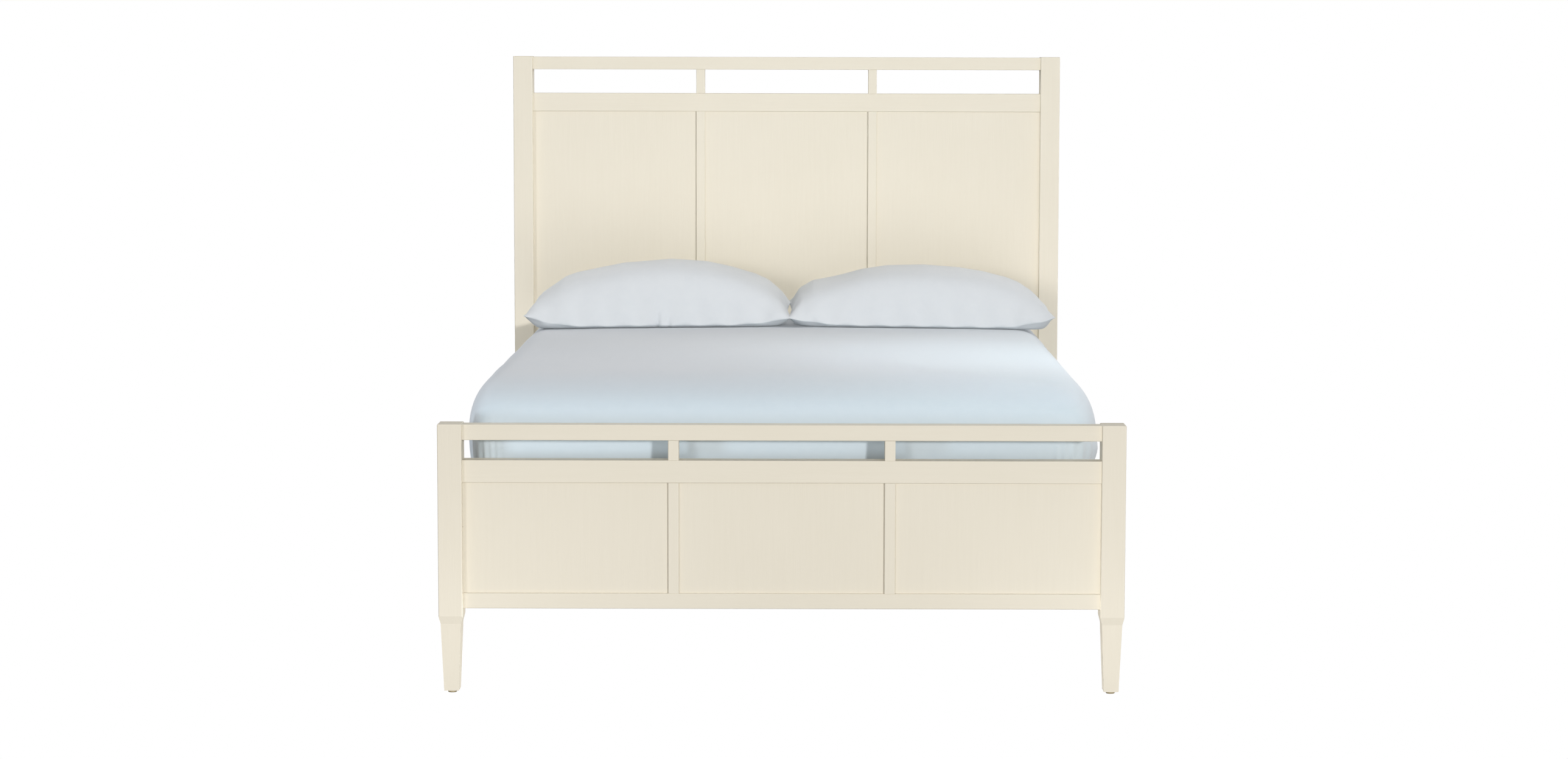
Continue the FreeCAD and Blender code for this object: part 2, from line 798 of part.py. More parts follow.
def screws():
    """All wood screws of the bed, grouped by what they hold."""
    across, along = FreeCAD.Vector(0, 1, 0), FreeCAD.Vector(1, 0, 0)
    ledger_screws, slat_screws, hanger_screws, plate_screws = [], [], [], []
    for side in (LEFT, RIGHT):
        head_x = (ledger_x - dim.ledger_thickness / 2) * side
        for y in ledger_screw_places():
            piece = screw(dim.ledger_screw_length, dim.screw_head_height)
            height = ledger_level + ledger_screw_height
            ledger_screws.append(aim(piece, across, -QUARTER_TURN * side, head_x, y, height))
        for y in slat_places():
            piece = screw(dim.slat_screw_length, dim.screw_head_height)
            place(piece, ledger_x * side, y, box_spring_level)
            slat_screws.append(piece)
        for end in (FOOT, HEAD):
            piece = screw(dim.hanger_screw_length, dim.screw_head_height)
            head_y = (rail_face_y - dim.hanger_thickness) * end
            x, height = hanger_screw_x * side, beam_level + hanger_screw_z
            hanger_screws.append(aim(piece, along, QUARTER_TURN * end, x, head_y, height))
            sink = dim.plate_screw_head_height
            for level in screw_heights():
                height = plate_level + level
                for outward in (FOOT, HEAD):
                    piece = screw(dim.plate_screw_length, sink)
                    y = clear_length / 2 * end - sink * outward
                    turn = -QUARTER_TURN * outward
                    plate_screws.append(aim(piece, along, turn, side_rail_x * side, y, height))
    group("ledger_screws", ledger_screws)
    group("slat_screws", slat_screws)
    group("hanger_screws", hanger_screws)
    group("plate_screws", plate_screws)


def plates():
    """Hook plates of the side rails and slotted plates of the posts."""
    corners = [(side, end) for side in (LEFT, RIGHT) for end in (FOOT, HEAD)]
    group("rail_hook_plates", [hook_plate(side, end) for side, end in corners])
    group("post_slot_plates", [slot_plate(side, end) for side, end in corners])


def centre_beam():
    """Beam along the middle of the bed, level with the ledgers."""
    body = new_body("centre_beam")
    half, end = dim.beam_width / 2, rail_face_y - dim.hanger_thickness - dim.beam_slack
    pad(body, "XZ", box(-half, half, ZERO, dim.beam_height), -end, end)
    ease(body, dim.rail_easing, runs_along("y"))
    socket = ring(ZERO, leg_y, dim.spigot_diameter + dim.spigot_slack * 2)
    cut(body, "XY", socket, ZERO, dim.spigot_length + dim.mortise_room)
    place(body, z=beam_level)
    return as_node(body)


def beam_hanger(end):
    """Steel saddle on a bottom rail that carries one end of the centre beam."""
    body = new_body("beam_hanger")
    wall, tall = dim.hanger_thickness, dim.hanger_height
    inner, outer = hanger_reach - wall, hanger_reach
    wide = outer + dim.hanger_flange
    pad(body, "XZ", box(-wide, wide, -wall, tall), *ordered(ZERO, wall * -end))
    saddle = polygon([
        (-outer, -wall),
        (outer, -wall),
        (outer, tall),
        (inner, tall),
        (inner, ZERO),
        (-inner, ZERO),
        (-inner, tall),
        (-outer, tall),
    ])
    pad(body, "XZ", saddle, *ordered(ZERO, dim.hanger_depth * -end))
    holes = [ring(x, hanger_screw_z, pilot_diameter) for x in (-hanger_screw_x, hanger_screw_x)]
    cut(body, "XZ", together(holes), *ordered(ZERO, wall * -end))
    place(body, y=rail_face_y * end, z=beam_level)
    return body


def centre_leg():
    """Leg under the centre beam, with a spigot in the beam."""
    body = new_body("centre_leg")
    pad(body, "XY", centred_box(dim.leg_width, dim.leg_width), dim.glide_height, beam_level)
    ease(body, dim.post_easing, runs_along("z"))
    spigot = ring(ZERO, ZERO, dim.spigot_diameter)
    pad(body, "XY", spigot, beam_level, beam_level + dim.spigot_length)
    insert_bore(body)
    place(body, y=leg_y)
    return as_node(body)


def threaded_insert(x, y):
    """Steel insert in a foot that the glide's stem screws into."""
    body = new_body("threaded_insert")
    bore, outer = bore_diameter / 2, dim.insert_diameter / 2
    low, high = dim.glide_height, dim.glide_height + dim.insert_length
    turning(body, [(bore, low), (outer, low), (outer, high), (bore, high)])
    place(body, x, y)
    return body


def levelling_glide(name, x, y):
    """Round pad on the floor and the threaded stem that it is moulded on."""
    glide = new_body(f"glide_{name}")
    edge, top, ease_size = dim.glide_diameter / 2, dim.glide_height, dim.glide_easing
    socket = dim.stem_diameter / 2 + dim.stem_press_slack
    turning(glide, [
        (ZERO, ZERO),
        (edge - ease_size, ZERO),
        (edge, ease_size),
        (edge, top),
        (socket, top),
        (socket, dim.glide_floor),
        (ZERO, dim.glide_floor),
    ])
    stem = new_body(f"glide_stem_{name}")
    radius, high = dim.stem_diameter / 2, dim.glide_floor + dim.stem_length
    turning(stem, [
        (ZERO, dim.glide_floor),
        (radius, dim.glide_floor),
        (radius, high - ease_size),
        (radius - ease_size, high),
        (ZERO, high),
    ])
    for body in (glide, stem):
        place(body, x, y)
        as_node(body)


def feet():
    """Levelling glides with their inserts under the posts and the centre leg."""
    places = [("centre", ZERO, leg_y)]
    for end in (FOOT, HEAD):
        for side in (LEFT, RIGHT):
            name = f"{END_NAMES[end]}_{SIDE_NAMES[side]}"
            places.append((name, post_x * side, board_y * end))
    for name, x, y in places:
        levelling_glide(name, x, y)
    group("threaded_inserts", [threaded_insert(x, y) for _, x, y in places])


def box_spring():
    """Box spring on the slats, as a closed padded block."""
    body = new_body("box_spring")
    block = centred_box(dim.box_spring_width, dim.box_spring_length)
    pad(body, "XY", block, ZERO, dim.box_spring_height)
    ease(body, dim.box_spring_corner, runs_along("z"))
    top, bottom = lies_at(dim.box_spring_height), lies_at(ZERO)
    ease(body, dim.box_spring_easing, lambda edge: top(edge) or bottom(edge))
    place(body, z=box_spring_level)
    return as_node(body)


def crowned_outline(half, low, high, crown):
    """Drawing of a cross-section with a flat underside and a gently crowned top."""
    radius = (half * half + crown * crown) / (crown * 2)

    def draw(sketch):
        corners = [(-half, high), (-half, low), (half, low), (half, high)]
        for start, end in zip(corners, corners[1:]):
            sketch.addGeometry(Part.LineSegment(vector(*start), vector(*end)), False)
        middle = FreeCAD.Vector(0, high.value + crown.value - radius.value, 0)
        circle = Part.Circle(middle, FreeCAD.Vector(0, 0, 1), radius.value)
        spread = math.asin(half.value / radius.value)
        arc = Part.ArcOfCircle(circle, math.pi / 2 - spread, math.pi / 2 + spread)
        sketch.addGeometry(arc, False)
        for edge in range(len(corners)):
            following = (edge + 1) % len(corners)
            sketch.addConstraint(Sketcher.Constraint("Coincident", edge, 2, following, 1))
        for edge, (u, v) in enumerate(corners):
            tie_point(sketch, edge, 1, u, v)
        index = sketch.addConstraint(Sketcher.Constraint("Radius", 3, radius.value))
        sketch.setExpression(f"Constraints[{index}]", radius.text)

    return draw


def mattress_form(label, growth, low):
    """Mattress shape grown by a skin all round, with round corners and shoulders."""
    body = new_body(label)
    half, end = mattress_width / 2 + growth, mattress_length / 2 + growth
    section = crowned_outline(half, low, dim.mattress_height + growth, dim.mattress_crown)
    pad(body, "XZ", section, -end, end)
    ease(body, dim.mattress_corner + growth, runs_along("z"))
    ease(body, dim.mattress_shoulder + growth, borders(highest_face(body)))
    return body


def mattress():
    """Mattress with a crowned top, deep shoulders and a rounded heel."""
    body = mattress_form("mattress", ZERO, ZERO)
    ease(body, dim.mattress_heel, borders(lowest_face(body)))
    place(body, z=mattress_level)
    return as_node(body)


def fitted_sheet():
    """Sheet drawn over the top and sides of the mattress."""
    inner = mattress_form("sheet_inside", dim.sheet_slack, ZERO)
    outer = mattress_form("sheet_outside", dim.sheet_slack + dim.sheet_thickness, dim.sheet_hem_lift)
    sheet = doc.addObject("Part::Cut", "fitted_sheet")
    sheet.Label = "fitted_sheet"
    sheet.Base = outer
    sheet.Tool = inner
    place(sheet, z=mattress_level)
    return as_node(sheet)


def pillow_section(half, flat, seam, base, rise):
    """Drawing of a pillow's cross-section: flat underside, round flanks, crowned top."""
    lift = seam - base
    flank = half - flat
    flank_radius = (flank * flank + lift * lift) / (lift * 2)
    crown_radius = (half * half + rise * rise) / (rise * 2)

    def draw(sketch):
        normal = FreeCAD.Vector(0, 0, 1)
        sketch.addGeometry(Part.LineSegment(vector(-flat, base), vector(flat, base)), False)
        sweep = math.asin(flank.value / flank_radius.value)
        spread = math.asin(half.value / crown_radius.value)
        down, up = -math.pi / 2, math.pi / 2
        crown_middle = FreeCAD.Vector(0, seam.value + rise.value - crown_radius.value, 0)
        arcs = (
            (vector(flat, base + flank_radius), flank_radius, down, down + sweep),
            (crown_middle, crown_radius, up - spread, up + spread),
            (vector(-flat, base + flank_radius), flank_radius, down - sweep, down),
        )
        for middle, radius, start, end in arcs:
            circle = Part.Circle(middle, normal, radius.value)
            sketch.addGeometry(Part.ArcOfCircle(circle, start, end), False)
        for edge in range(4):
            sketch.addConstraint(Sketcher.Constraint("Coincident", edge, 2, (edge + 1) % 4, 1))
        corners = ((-flat, base), (flat, base), (half, seam), (-half, seam))
        for edge, (u, v) in enumerate(corners):
            tie_point(sketch, edge, 1, u, v)
        for edge, (_, radius, _, _) in enumerate(arcs, 1):
            index = sketch.addConstraint(Sketcher.Constraint("Radius", edge, radius.value))
            sketch.setExpression(f"Constraints[{index}]", radius.text)

    return draw


def pillow(side):
    """Plump pillow that lies on the sheet, its long sides drawn in between its corners."""
    body = new_body(f"pillow_{SIDE_NAMES[side]}")
    height = dim.pillow_left_height if side == LEFT else dim.pillow_right_height
    seam = dim.pillow_seam_height
    halves = [(-share, *rest) for share, *rest in reversed(PILLOW_SECTION_SHARES[1:])]
    sections = []
    for share, crown_share, flat_share, base_share in (*halves, *PILLOW_SECTION_SHARES):
        half = dim.pillow_depth / 2 - dim.pillow_draw * (1 - share * share)
        rise = (height - seam) * crown_share
        drawing = pillow_section(half, half * flat_share, seam, seam * base_share, rise)
        sections.append(sketch_on(body, "YZ", dim.pillow_width / 2 * share, drawing))
    loft(body, sections, ruled=False)

    x = dim.pillow_offset + (dim.pillow_gap + dim.pillow_width) / 2 * side
    y = clear_length / 2 - dim.pillow_head_gap - dim.pillow_depth / 2
    slope = dim.mattress_crown * x * 8 / (mattress_width * mattress_width)
    drop = slope * x / 2
    skin = dim.sheet_slack + dim.sheet_thickness + dim.pillow_slack
    lie = dim.mattress_height + dim.mattress_crown - drop + skin
    turn_to(body, FreeCAD.Vector(0, 1, 0), math.degrees(math.atan(slope.value)))
    place(body, x, y, mattress_level + lie)
    return as_node(body)


def check_and_write():
    """Stop on any failed object, then write each node's shape under its label."""
    doc.recompute()
    for item in doc.Objects:
        if {"Invalid", "Error"} & set(item.State):
            raise RuntimeError(f"{item.Label} of {item.getParentGeoFeatureGroup()} failed")
        if item.TypeId == "PartDesign::Pocket" and item.Shape.Volume >= item.BaseFeature.Shape.Volume:
            raise RuntimeError(f"{item.Label} cuts nothing")
    os.makedirs("parts", exist_ok=True)
    for node in nodes:
        shape = node.Shape
        if shape.isNull() or not shape.isValid():
            raise RuntimeError(f"{node.Label} has no valid shape")
        shape.exportStep(os.path.join("parts", f"{node.Label}.step"))
        print(f"{node.Label}: {len(shape.Solids)} solids, {shape.Volume / 1000:.1f} cm3")


def main():
    """Build the bed from its boards to its pillows."""
    fill_sheet()
    for end in (FOOT, HEAD):
        rails(end)
        panels(end)
        for side in (LEFT, RIGHT):
            post(side, end)
            spacer(side, end)
            stile(side, end)
    for side in (LEFT, RIGHT):
        side_rail(side)
        ledger(side)
    for number, y in enumerate(slat_places(), 1):
        slat(number, y)
    plates()
    centre_beam()
    group("beam_hangers", [beam_hanger(FOOT), beam_hanger(HEAD)])
    centre_leg()
    feet()
    screws()
    box_spring()
    mattress()
    fitted_sheet()
    pillow(LEFT)
    pillow(RIGHT)
    check_and_write()


main()
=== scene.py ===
"""Dressed model of a painted panel bed, made up with box spring, mattress, sheet and pillows.

Metres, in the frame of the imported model: +X is the right side seen from the foot, +Y runs from
the footboard to the headboard, and +Z points up.
"""

import logging
import math
from collections.abc import Callable
from dataclasses import dataclass, field
from enum import Enum

import bpy
import numpy as np
from mathutils import Matrix, Vector, noise


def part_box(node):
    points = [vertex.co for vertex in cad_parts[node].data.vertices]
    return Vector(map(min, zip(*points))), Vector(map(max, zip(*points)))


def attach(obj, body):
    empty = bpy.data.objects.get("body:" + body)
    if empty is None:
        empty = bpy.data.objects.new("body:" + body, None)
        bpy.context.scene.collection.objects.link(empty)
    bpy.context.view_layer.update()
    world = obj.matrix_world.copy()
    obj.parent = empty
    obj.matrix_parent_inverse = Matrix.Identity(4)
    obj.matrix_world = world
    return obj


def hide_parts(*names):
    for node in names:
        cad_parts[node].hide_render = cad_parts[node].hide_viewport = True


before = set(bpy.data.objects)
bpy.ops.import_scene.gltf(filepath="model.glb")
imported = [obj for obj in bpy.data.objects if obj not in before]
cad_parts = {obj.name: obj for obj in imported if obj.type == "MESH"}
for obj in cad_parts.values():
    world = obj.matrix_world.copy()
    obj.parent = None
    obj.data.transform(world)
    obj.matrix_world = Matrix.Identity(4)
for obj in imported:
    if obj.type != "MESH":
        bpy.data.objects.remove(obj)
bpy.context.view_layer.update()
log = logging.getLogger("panel_bed")

Colour = tuple[float, float, float]
Place = tuple[float, float, float]
Span = tuple[float, float]
Remap = tuple[float, float, float, float]
Socket = bpy.types.NodeSocket
Material = bpy.types.Material
Piece = bpy.types.Object
WHITE = (1.0, 1.0, 1.0, 1.0)
NOISE_SPAN = (0.3, 0.7)
TINY = 1e-9


class GrainRun(Enum):
    """Axis of the bed that a board's grain runs along."""

    ACROSS = 0
    ALONG = 1
    UPRIGHT = 2


class Side(Enum):
    """Side of the bed, seen from its foot."""

    LEFT = "left"
    RIGHT = "right"


class Link(Enum):
    """Whether a light takes a set of pieces in or leaves it out."""

    TAKE_IN = "INCLUDE"
    LEAVE_OUT = "EXCLUDE"


def rgba(colour: Colour) -> tuple[float, float, float, float]:
    """A colour with full opacity."""
    return (*colour, 1.0)


def deselect_all() -> None:
    """Leave edit mode and clear the selection."""
    if bpy.context.object and bpy.context.object.mode != "OBJECT":
        bpy.ops.object.mode_set(mode="OBJECT")
    bpy.ops.object.select_all(action="DESELECT")


def make_active(piece: Piece) -> None:
    """Select one piece alone and make it the active one."""
    deselect_all()
    piece.select_set(True)
    bpy.context.view_layer.objects.active = piece


def points_of(piece: Piece) -> np.ndarray:
    """Read the points of a mesh.

    Args:
        piece: Mesh object.

    Returns:
        One row of x, y, z per vertex.
    """
    places = np.zeros(len(piece.data.vertices) * 3)
    piece.data.vertices.foreach_get("co", places)
    return places.reshape(-1, 3)


def set_points(piece: Piece, places: np.ndarray) -> None:
    """Move the points of a mesh, one row of x, y, z per vertex."""
    piece.data.vertices.foreach_set("co", places.ravel())
    piece.data.update()


def apply_modifier(piece: Piece, name: str) -> None:
    """Apply one modifier of a piece."""
    make_active(piece)
    bpy.ops.object.modifier_apply(modifier=name)


def refine(piece: Piece) -> None:
    """Refine a piece with one level of Subdivision Surface."""
    piece.modifiers.new("Fine", "SUBSURF").levels = 1
    apply_modifier(piece, "Fine")


def added(operator: Callable, **settings: object) -> Piece:
    """Run an operator that adds an object, with nothing else selected.

    Args:
        operator: The operator.
        settings: Its settings.

    Returns:
        The new object.
    """
    deselect_all()
    operator(**settings)
    return bpy.context.object


def flat_grid(across: int, along: int) -> Piece:
    """Flat grid of some cells across and along, between -1 and 1."""
    cells = {"x_subdivisions": across, "y_subdivisions": along}
    return added(bpy.ops.mesh.primitive_grid_add, size=2.0, **cells)


def finish_piece(piece: Piece, name: str, body: str, node: str) -> None:
    """Shade a piece smooth, bring its place into its mesh and let it stand for a CAD node.

    Args:
        piece: Mesh object.
        name: Name of the finished piece.
        body: Body that it moves with.
        node: CAD node that it replaces.
    """
    make_active(piece)
    bpy.ops.object.shade_smooth()
    bpy.ops.object.transform_apply(location=True, rotation=True, scale=True)
    piece.name = name
    piece.data.name = name
    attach(piece, body)
    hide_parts(node)
    log.info("%s: %d points", name, len(piece.data.vertices))


def smooth_step(low: float, high: float, value: np.ndarray) -> np.ndarray:
    """Ease from 0 at low to 1 at high."""
    share = np.clip((value - low) / (high - low), 0.0, 1.0)
    return share * share * (3.0 - 2.0 * share)


@dataclass(frozen=True)
class Ripple:
    """Smooth unevenness of a cloth: its rise, its bumps per metre and the stretch of noise it takes."""

    rise: float
    rate: float
    seed: float

    def at(self, places: np.ndarray) -> np.ndarray:
        """Work out the unevenness.

        Args:
            places: One row of x, y, z per point.

        Returns:
            One height per point, between the rise down and the rise up.
        """
        shift = Vector((self.seed, self.seed * 0.7, self.seed * 1.3))
        return self.rise * np.array([noise.noise(Vector(place) * self.rate + shift) for place in places])


class Wiring:
    """Adds nodes to one node tree and joins them."""

    def __init__(self, tree: bpy.types.NodeTree) -> None:
        """Keep the tree that the nodes go into."""
        self.tree = tree

    def add(self, kind: str, inputs: dict | None = None, **settings: object) -> bpy.types.Node:
        """Add a node.

        Args:
            kind: Node type.
            inputs: Values or sockets for its inputs, by name or number.
            settings: Properties of the node.

        Returns:
            The new node.
        """
        node = self.tree.nodes.new(kind)
        for name, value in settings.items():
            setattr(node, name, value)
        for key, value in (inputs or {}).items():
            if isinstance(value, Socket):
                self.tree.links.new(value, node.inputs[key])
            else:
                node.inputs[key].default_value = value
        return node

    def calc(self, operation: str, first: object, second: object = 0.0) -> Socket:
        """Add a Math node and return its result."""
        return self.add("ShaderNodeMath", {0: first, 1: second}, operation=operation).outputs[0]

    def remap(self, value: Socket, low: float, high: float, to_low: float, to_high: float) -> Socket:
        """Add a clamped Map Range node and return its result."""
        limits = {0: value, 1: low, 2: high, 3: to_low, 4: to_high}
        return self.add("ShaderNodeMapRange", limits, clamp=True).outputs[0]

    def blend(self, share: object, first: object, second: object) -> Socket:
        """Add a colour Mix node and return its result."""
        mix = self.add("ShaderNodeMix", {0: share, 6: first, 7: second}, data_type="RGBA")
        return mix.outputs[2]

    def noise(self, place: Socket, scale: object, detail: float, roughness: float = 0.5) -> Socket:
        """Add a Noise Texture and return its value."""
        inputs = {"Vector": place, "Scale": scale, "Detail": detail, "Roughness": roughness}
        return self.add("ShaderNodeTexNoise", inputs).outputs[0]

    def object_place(self, stretch: Place = (1.0, 1.0, 1.0)) -> Socket:
        """Add Object coordinates, stretched along the axes, and return them."""
        source = self.add("ShaderNodeTexCoord").outputs["Object"]
        return self.add("ShaderNodeMapping", {"Vector": source, "Scale": stretch}).outputs[0]

    def cover(
        self, shader: bpy.types.Node, colour: Socket, rough: Socket, height: Socket, bump: Span
    ) -> None:
        """Give a shader its colour, roughness and bump.

        Args:
            shader: Principled BSDF.
            colour: Base colour.
            rough: Roughness.
            height: Height that the bump is taken from.
            bump: Strength of the bump, and its depth in metres.
        """
        inputs = {"Strength": bump[0], "Distance": bump[1], "Height": height}
        normal = self.add("ShaderNodeBump", inputs).outputs[0]
        for label, source in (("Base Color", colour), ("Roughness", rough), ("Normal", normal)):
            self.tree.links.new(source, shader.inputs[label])

    def split_view(self, light: Socket, view: Socket) -> Socket:
        """Mix one shader for the light it gives with one for what the camera sees."""
        seen = self.add("ShaderNodeLightPath").outputs["Is Camera Ray"]
        return self.add("ShaderNodeMixShader", {0: seen, 1: light, 2: view}).outputs[0]


class ShaderGroups:
    """Node groups that several finishes share, each built once."""

    PORE_RATE = 4.5
    PORE_SPAN = (0.52, 0.72)
    FLECK_EDGE = (0.014, 0.026)
    FLECK_LIMIT = 0.72
    MOTTLE_RATE = 38.0

    def __init__(self) -> None:
        """Start with no groups."""
        self.made: dict[str, bpy.types.NodeTree] = {}

    def start(self, name: str, rate: str, outputs: list[str]) -> tuple:
        """Make an empty group that takes coordinates and a rate.

        Args:
            name: Name of the group.
            rate: Name of the rate's input.
            outputs: Names of the value outputs.

        Returns:
            Wiring of the group, its coordinates, its rate and the inputs of its output node.
        """
        tree = bpy.data.node_groups.new(name, "ShaderNodeTree")
        for label, kind in (("Vector", "NodeSocketVector"), (rate, "NodeSocketFloat")):
            tree.interface.new_socket(name=label, in_out="INPUT", socket_type=kind)
        for label in outputs:
            tree.interface.new_socket(name=label, in_out="OUTPUT", socket_type="NodeSocketFloat")
        self.made[name] = tree
        wiring = Wiring(tree)
        given = wiring.add("NodeGroupInput").outputs
        return wiring, given["Vector"], given[rate], wiring.add("NodeGroupOutput").inputs

    def place(self, wiring: Wiring, name: str, inputs: dict) -> bpy.types.Node:
        """Place a group in a material, with values or sockets for its inputs."""
        return wiring.add("ShaderNodeGroup", inputs, node_tree=self.tree(name))

    def tree(self, name: str) -> bpy.types.NodeTree:
        """The group of that name, built when it is first asked for."""
        if name not in self.made:
            {"Grain": self.grain, "Flecks": self.flecks, "Weave": self.weave}[name]()
        return self.made[name]

    def grain(self) -> None:
        """Streaks that run along the slow axis of the coordinates, with finer pores between them."""
        wiring, place, rate, results = self.start("Grain", "Fineness", ["Streaks", "Pores"])
        streaks = wiring.noise(place, rate, 5.0, 0.62)
        finer = wiring.noise(place, wiring.calc("MULTIPLY", rate, self.PORE_RATE), 2.0)
        wiring.tree.links.new(streaks, results["Streaks"])
        wiring.tree.links.new(wiring.remap(finer, *self.PORE_SPAN, 0.0, 1.0), results["Pores"])

    def flecks(self) -> None:
        """Sparse small specks, as a mask."""
        wiring, place, rate, results = self.start("Flecks", "Spread", ["Mask"])
        cells = wiring.add("ShaderNodeTexVoronoi", {"Vector": place, "Scale": rate}, feature="F1").outputs
        near = wiring.remap(cells["Distance"], *self.FLECK_EDGE, 1.0, 0.0)
        pick = wiring.add("ShaderNodeSeparateColor", {0: cells["Color"]}).outputs[0]
        chosen = wiring.calc("GREATER_THAN", pick, self.FLECK_LIMIT)
        wiring.tree.links.new(wiring.calc("MULTIPLY", near, chosen), results["Mask"])

    def weave(self) -> None:
        """Crossing threads of a plain weave, as a height, and a soft mottle."""
        wiring, place, rate, results = self.start("Weave", "Threads", ["Height", "Mottle"])
        parts = wiring.add("ShaderNodeSeparateXYZ", {0: place})
        waves = []
        for axis in range(3):
            turns = wiring.calc("MULTIPLY", parts.outputs[axis], rate)
            waves.append(wiring.calc("SINE", wiring.calc("MULTIPLY", turns, math.tau)))
        crossings = [wiring.calc("MULTIPLY", waves[a], waves[b]) for a, b in ((0, 1), (1, 2), (0, 2))]
        total = wiring.calc("ADD", wiring.calc("ADD", crossings[0], crossings[1]), crossings[2])
        wiring.tree.links.new(total, results["Height"])
        wiring.tree.links.new(wiring.noise(place, self.MOTTLE_RATE, 4.0, 0.6), results["Mottle"])


GROUPS = ShaderGroups()


def start_material(name: str, **sockets: object) -> tuple[Material, Wiring, bpy.types.Node]:
    """Make a material around one Principled BSDF.

    Args:
        name: Name of the material.
        sockets: Constant values of the shader, by socket name with _ for a space.

    Returns:
        The material, its wiring and its shader.
    """
    material = bpy.data.materials.new(name)
    material.use_nodes = True
    shader = material.node_tree.nodes["Principled BSDF"]
    for label, value in sockets.items():
        shader.inputs[label.replace("_", " ")].default_value = value
    return material, Wiring(material.node_tree), shader


def grain_stretch(run: GrainRun, slow: float) -> Place:
    """Coordinate scales that draw a pattern out along the grain, against 1 across it."""
    return tuple(slow if axis == run.value else 1.0 for axis in range(3))


def start_wood(finish: "PaintFinish | PineFinish", run: GrainRun) -> tuple:
    """Start a wood's material with the grain that it shows.

    Args:
        finish: Finish of the wood.
        run: Axis of the grain.

    Returns:
        The material, its wiring, its shader, and the grain's streaks and pores.
    """
    name = f"{finish.name}_{run.name.lower()}"
    material, wiring, shader = start_material(name, Specular_IOR_Level=finish.specular)
    place = wiring.object_place(grain_stretch(run, finish.along_grain))
    grain = GROUPS.place(wiring, "Grain", {"Vector": place, "Fineness": finish.fineness})
    return material, wiring, shader, grain.outputs["Streaks"], grain.outputs["Pores"]


@dataclass(frozen=True)
class PaintFinish:
    """Satin cream paint, brushed over wood whose grain still shows a little."""

    name: str
    tone: Colour
    shadow_tone: Colour
    fleck_tone: Colour = (0.30, 0.25, 0.17)
    specular: float = 0.38
    fineness: float = 120.0
    along_grain: float = 0.045
    patch_rate: float = 3.2
    fleck_rate: float = 9.0
    fleck_weight: float = 0.6
    pore_depth: float = -0.5
    streak_share: Remap = (0.3, 0.75, 0.0, 0.4)
    patch_share: Remap = (0.35, 0.7, 0.0, 0.3)
    rough: Span = (0.42, 0.55)
    bump: Span = (0.3, 0.00035)

    def material(self, run: GrainRun) -> Material:
        """Build the paint for boards with their grain along one axis.

        Args:
            run: Axis of the grain.

        Returns:
            The material.
        """
        material, wiring, shader, streaks, pores = start_wood(self, run)
        even = wiring.object_place()
        patches = wiring.remap(wiring.noise(even, self.patch_rate, 3.0), *self.patch_share)
        flecks = GROUPS.place(wiring, "Flecks", {"Vector": even, "Spread": self.fleck_rate})
        share = wiring.calc("ADD", wiring.remap(streaks, *self.streak_share), patches)
        body = wiring.blend(share, rgba(self.tone), rgba(self.shadow_tone))
        fleck_share = wiring.calc("MULTIPLY", flecks.outputs["Mask"], self.fleck_weight)
        colour = wiring.blend(fleck_share, body, rgba(self.fleck_tone))
        rough = wiring.remap(streaks, *NOISE_SPAN, *self.rough)
        height = wiring.calc("ADD", streaks, wiring.calc("MULTIPLY", pores, self.pore_depth))
        wiring.cover(shader, colour, rough, height, self.bump)
        return material


@dataclass(frozen=True)
class PineFinish:
    """Planed pine without paint, with growth rings drawn out along the board."""

    name: str
    early_tone: Colour
    late_tone: Colour
    specular: float = 0.3
    fineness: float = 42.0
    along_grain: float = 0.06
    rings: float = 9.0
    ring_share: Remap = (0.35, 1.0, 0.0, 0.8)
    pore_weight: float = 0.25
    rough: Span = (0.55, 0.72)
    bump: Span = (0.4, 0.0004)

    def material(self, run: GrainRun) -> Material:
        """Build the pine for boards with their grain along one axis.

        Args:
            run: Axis of the grain.

        Returns:
            The material.
        """
        material, wiring, shader, streaks, pores = start_wood(self, run)
        rings = wiring.calc("FRACT", wiring.calc("MULTIPLY", streaks, self.rings))
        pore_share = wiring.calc("MULTIPLY", pores, self.pore_weight)
        share = wiring.calc("ADD", wiring.remap(rings, *self.ring_share), pore_share)
        colour = wiring.blend(share, rgba(self.early_tone), rgba(self.late_tone))
        rough = wiring.remap(streaks, *NOISE_SPAN, *self.rough)
        wiring.cover(shader, colour, rough, streaks, self.bump)
        return material


@dataclass(frozen=True)
class HardFinish:
    """Metal or moulded plastic with a fine mottle and broad worn patches."""

    name: str
    tone: Colour
    worn_tone: Colour
    metallic: float
    rough: Span
    fineness: float = 260.0
    broad_rate: float = 0.15
    worn_share: Remap = (0.4, 0.7, 0.0, 0.6)
    bump: Span = (0.25, 0.0001)

    def material(self) -> Material:
        """Build the material.

        Returns:
            The material.
        """
        material, wiring, shader = start_material(self.name, Metallic=self.metallic)
        place = wiring.object_place()
        fine = wiring.noise(place, self.fineness, 4.0, 0.6)
        broad = wiring.noise(place, self.fineness * self.broad_rate, 3.0)
        share = wiring.remap(broad, *self.worn_share)
        colour = wiring.blend(share, rgba(self.tone), rgba(self.worn_tone))
        wiring.cover(shader, colour, wiring.remap(fine, *NOISE_SPAN, *self.rough), fine, self.bump)
        return material


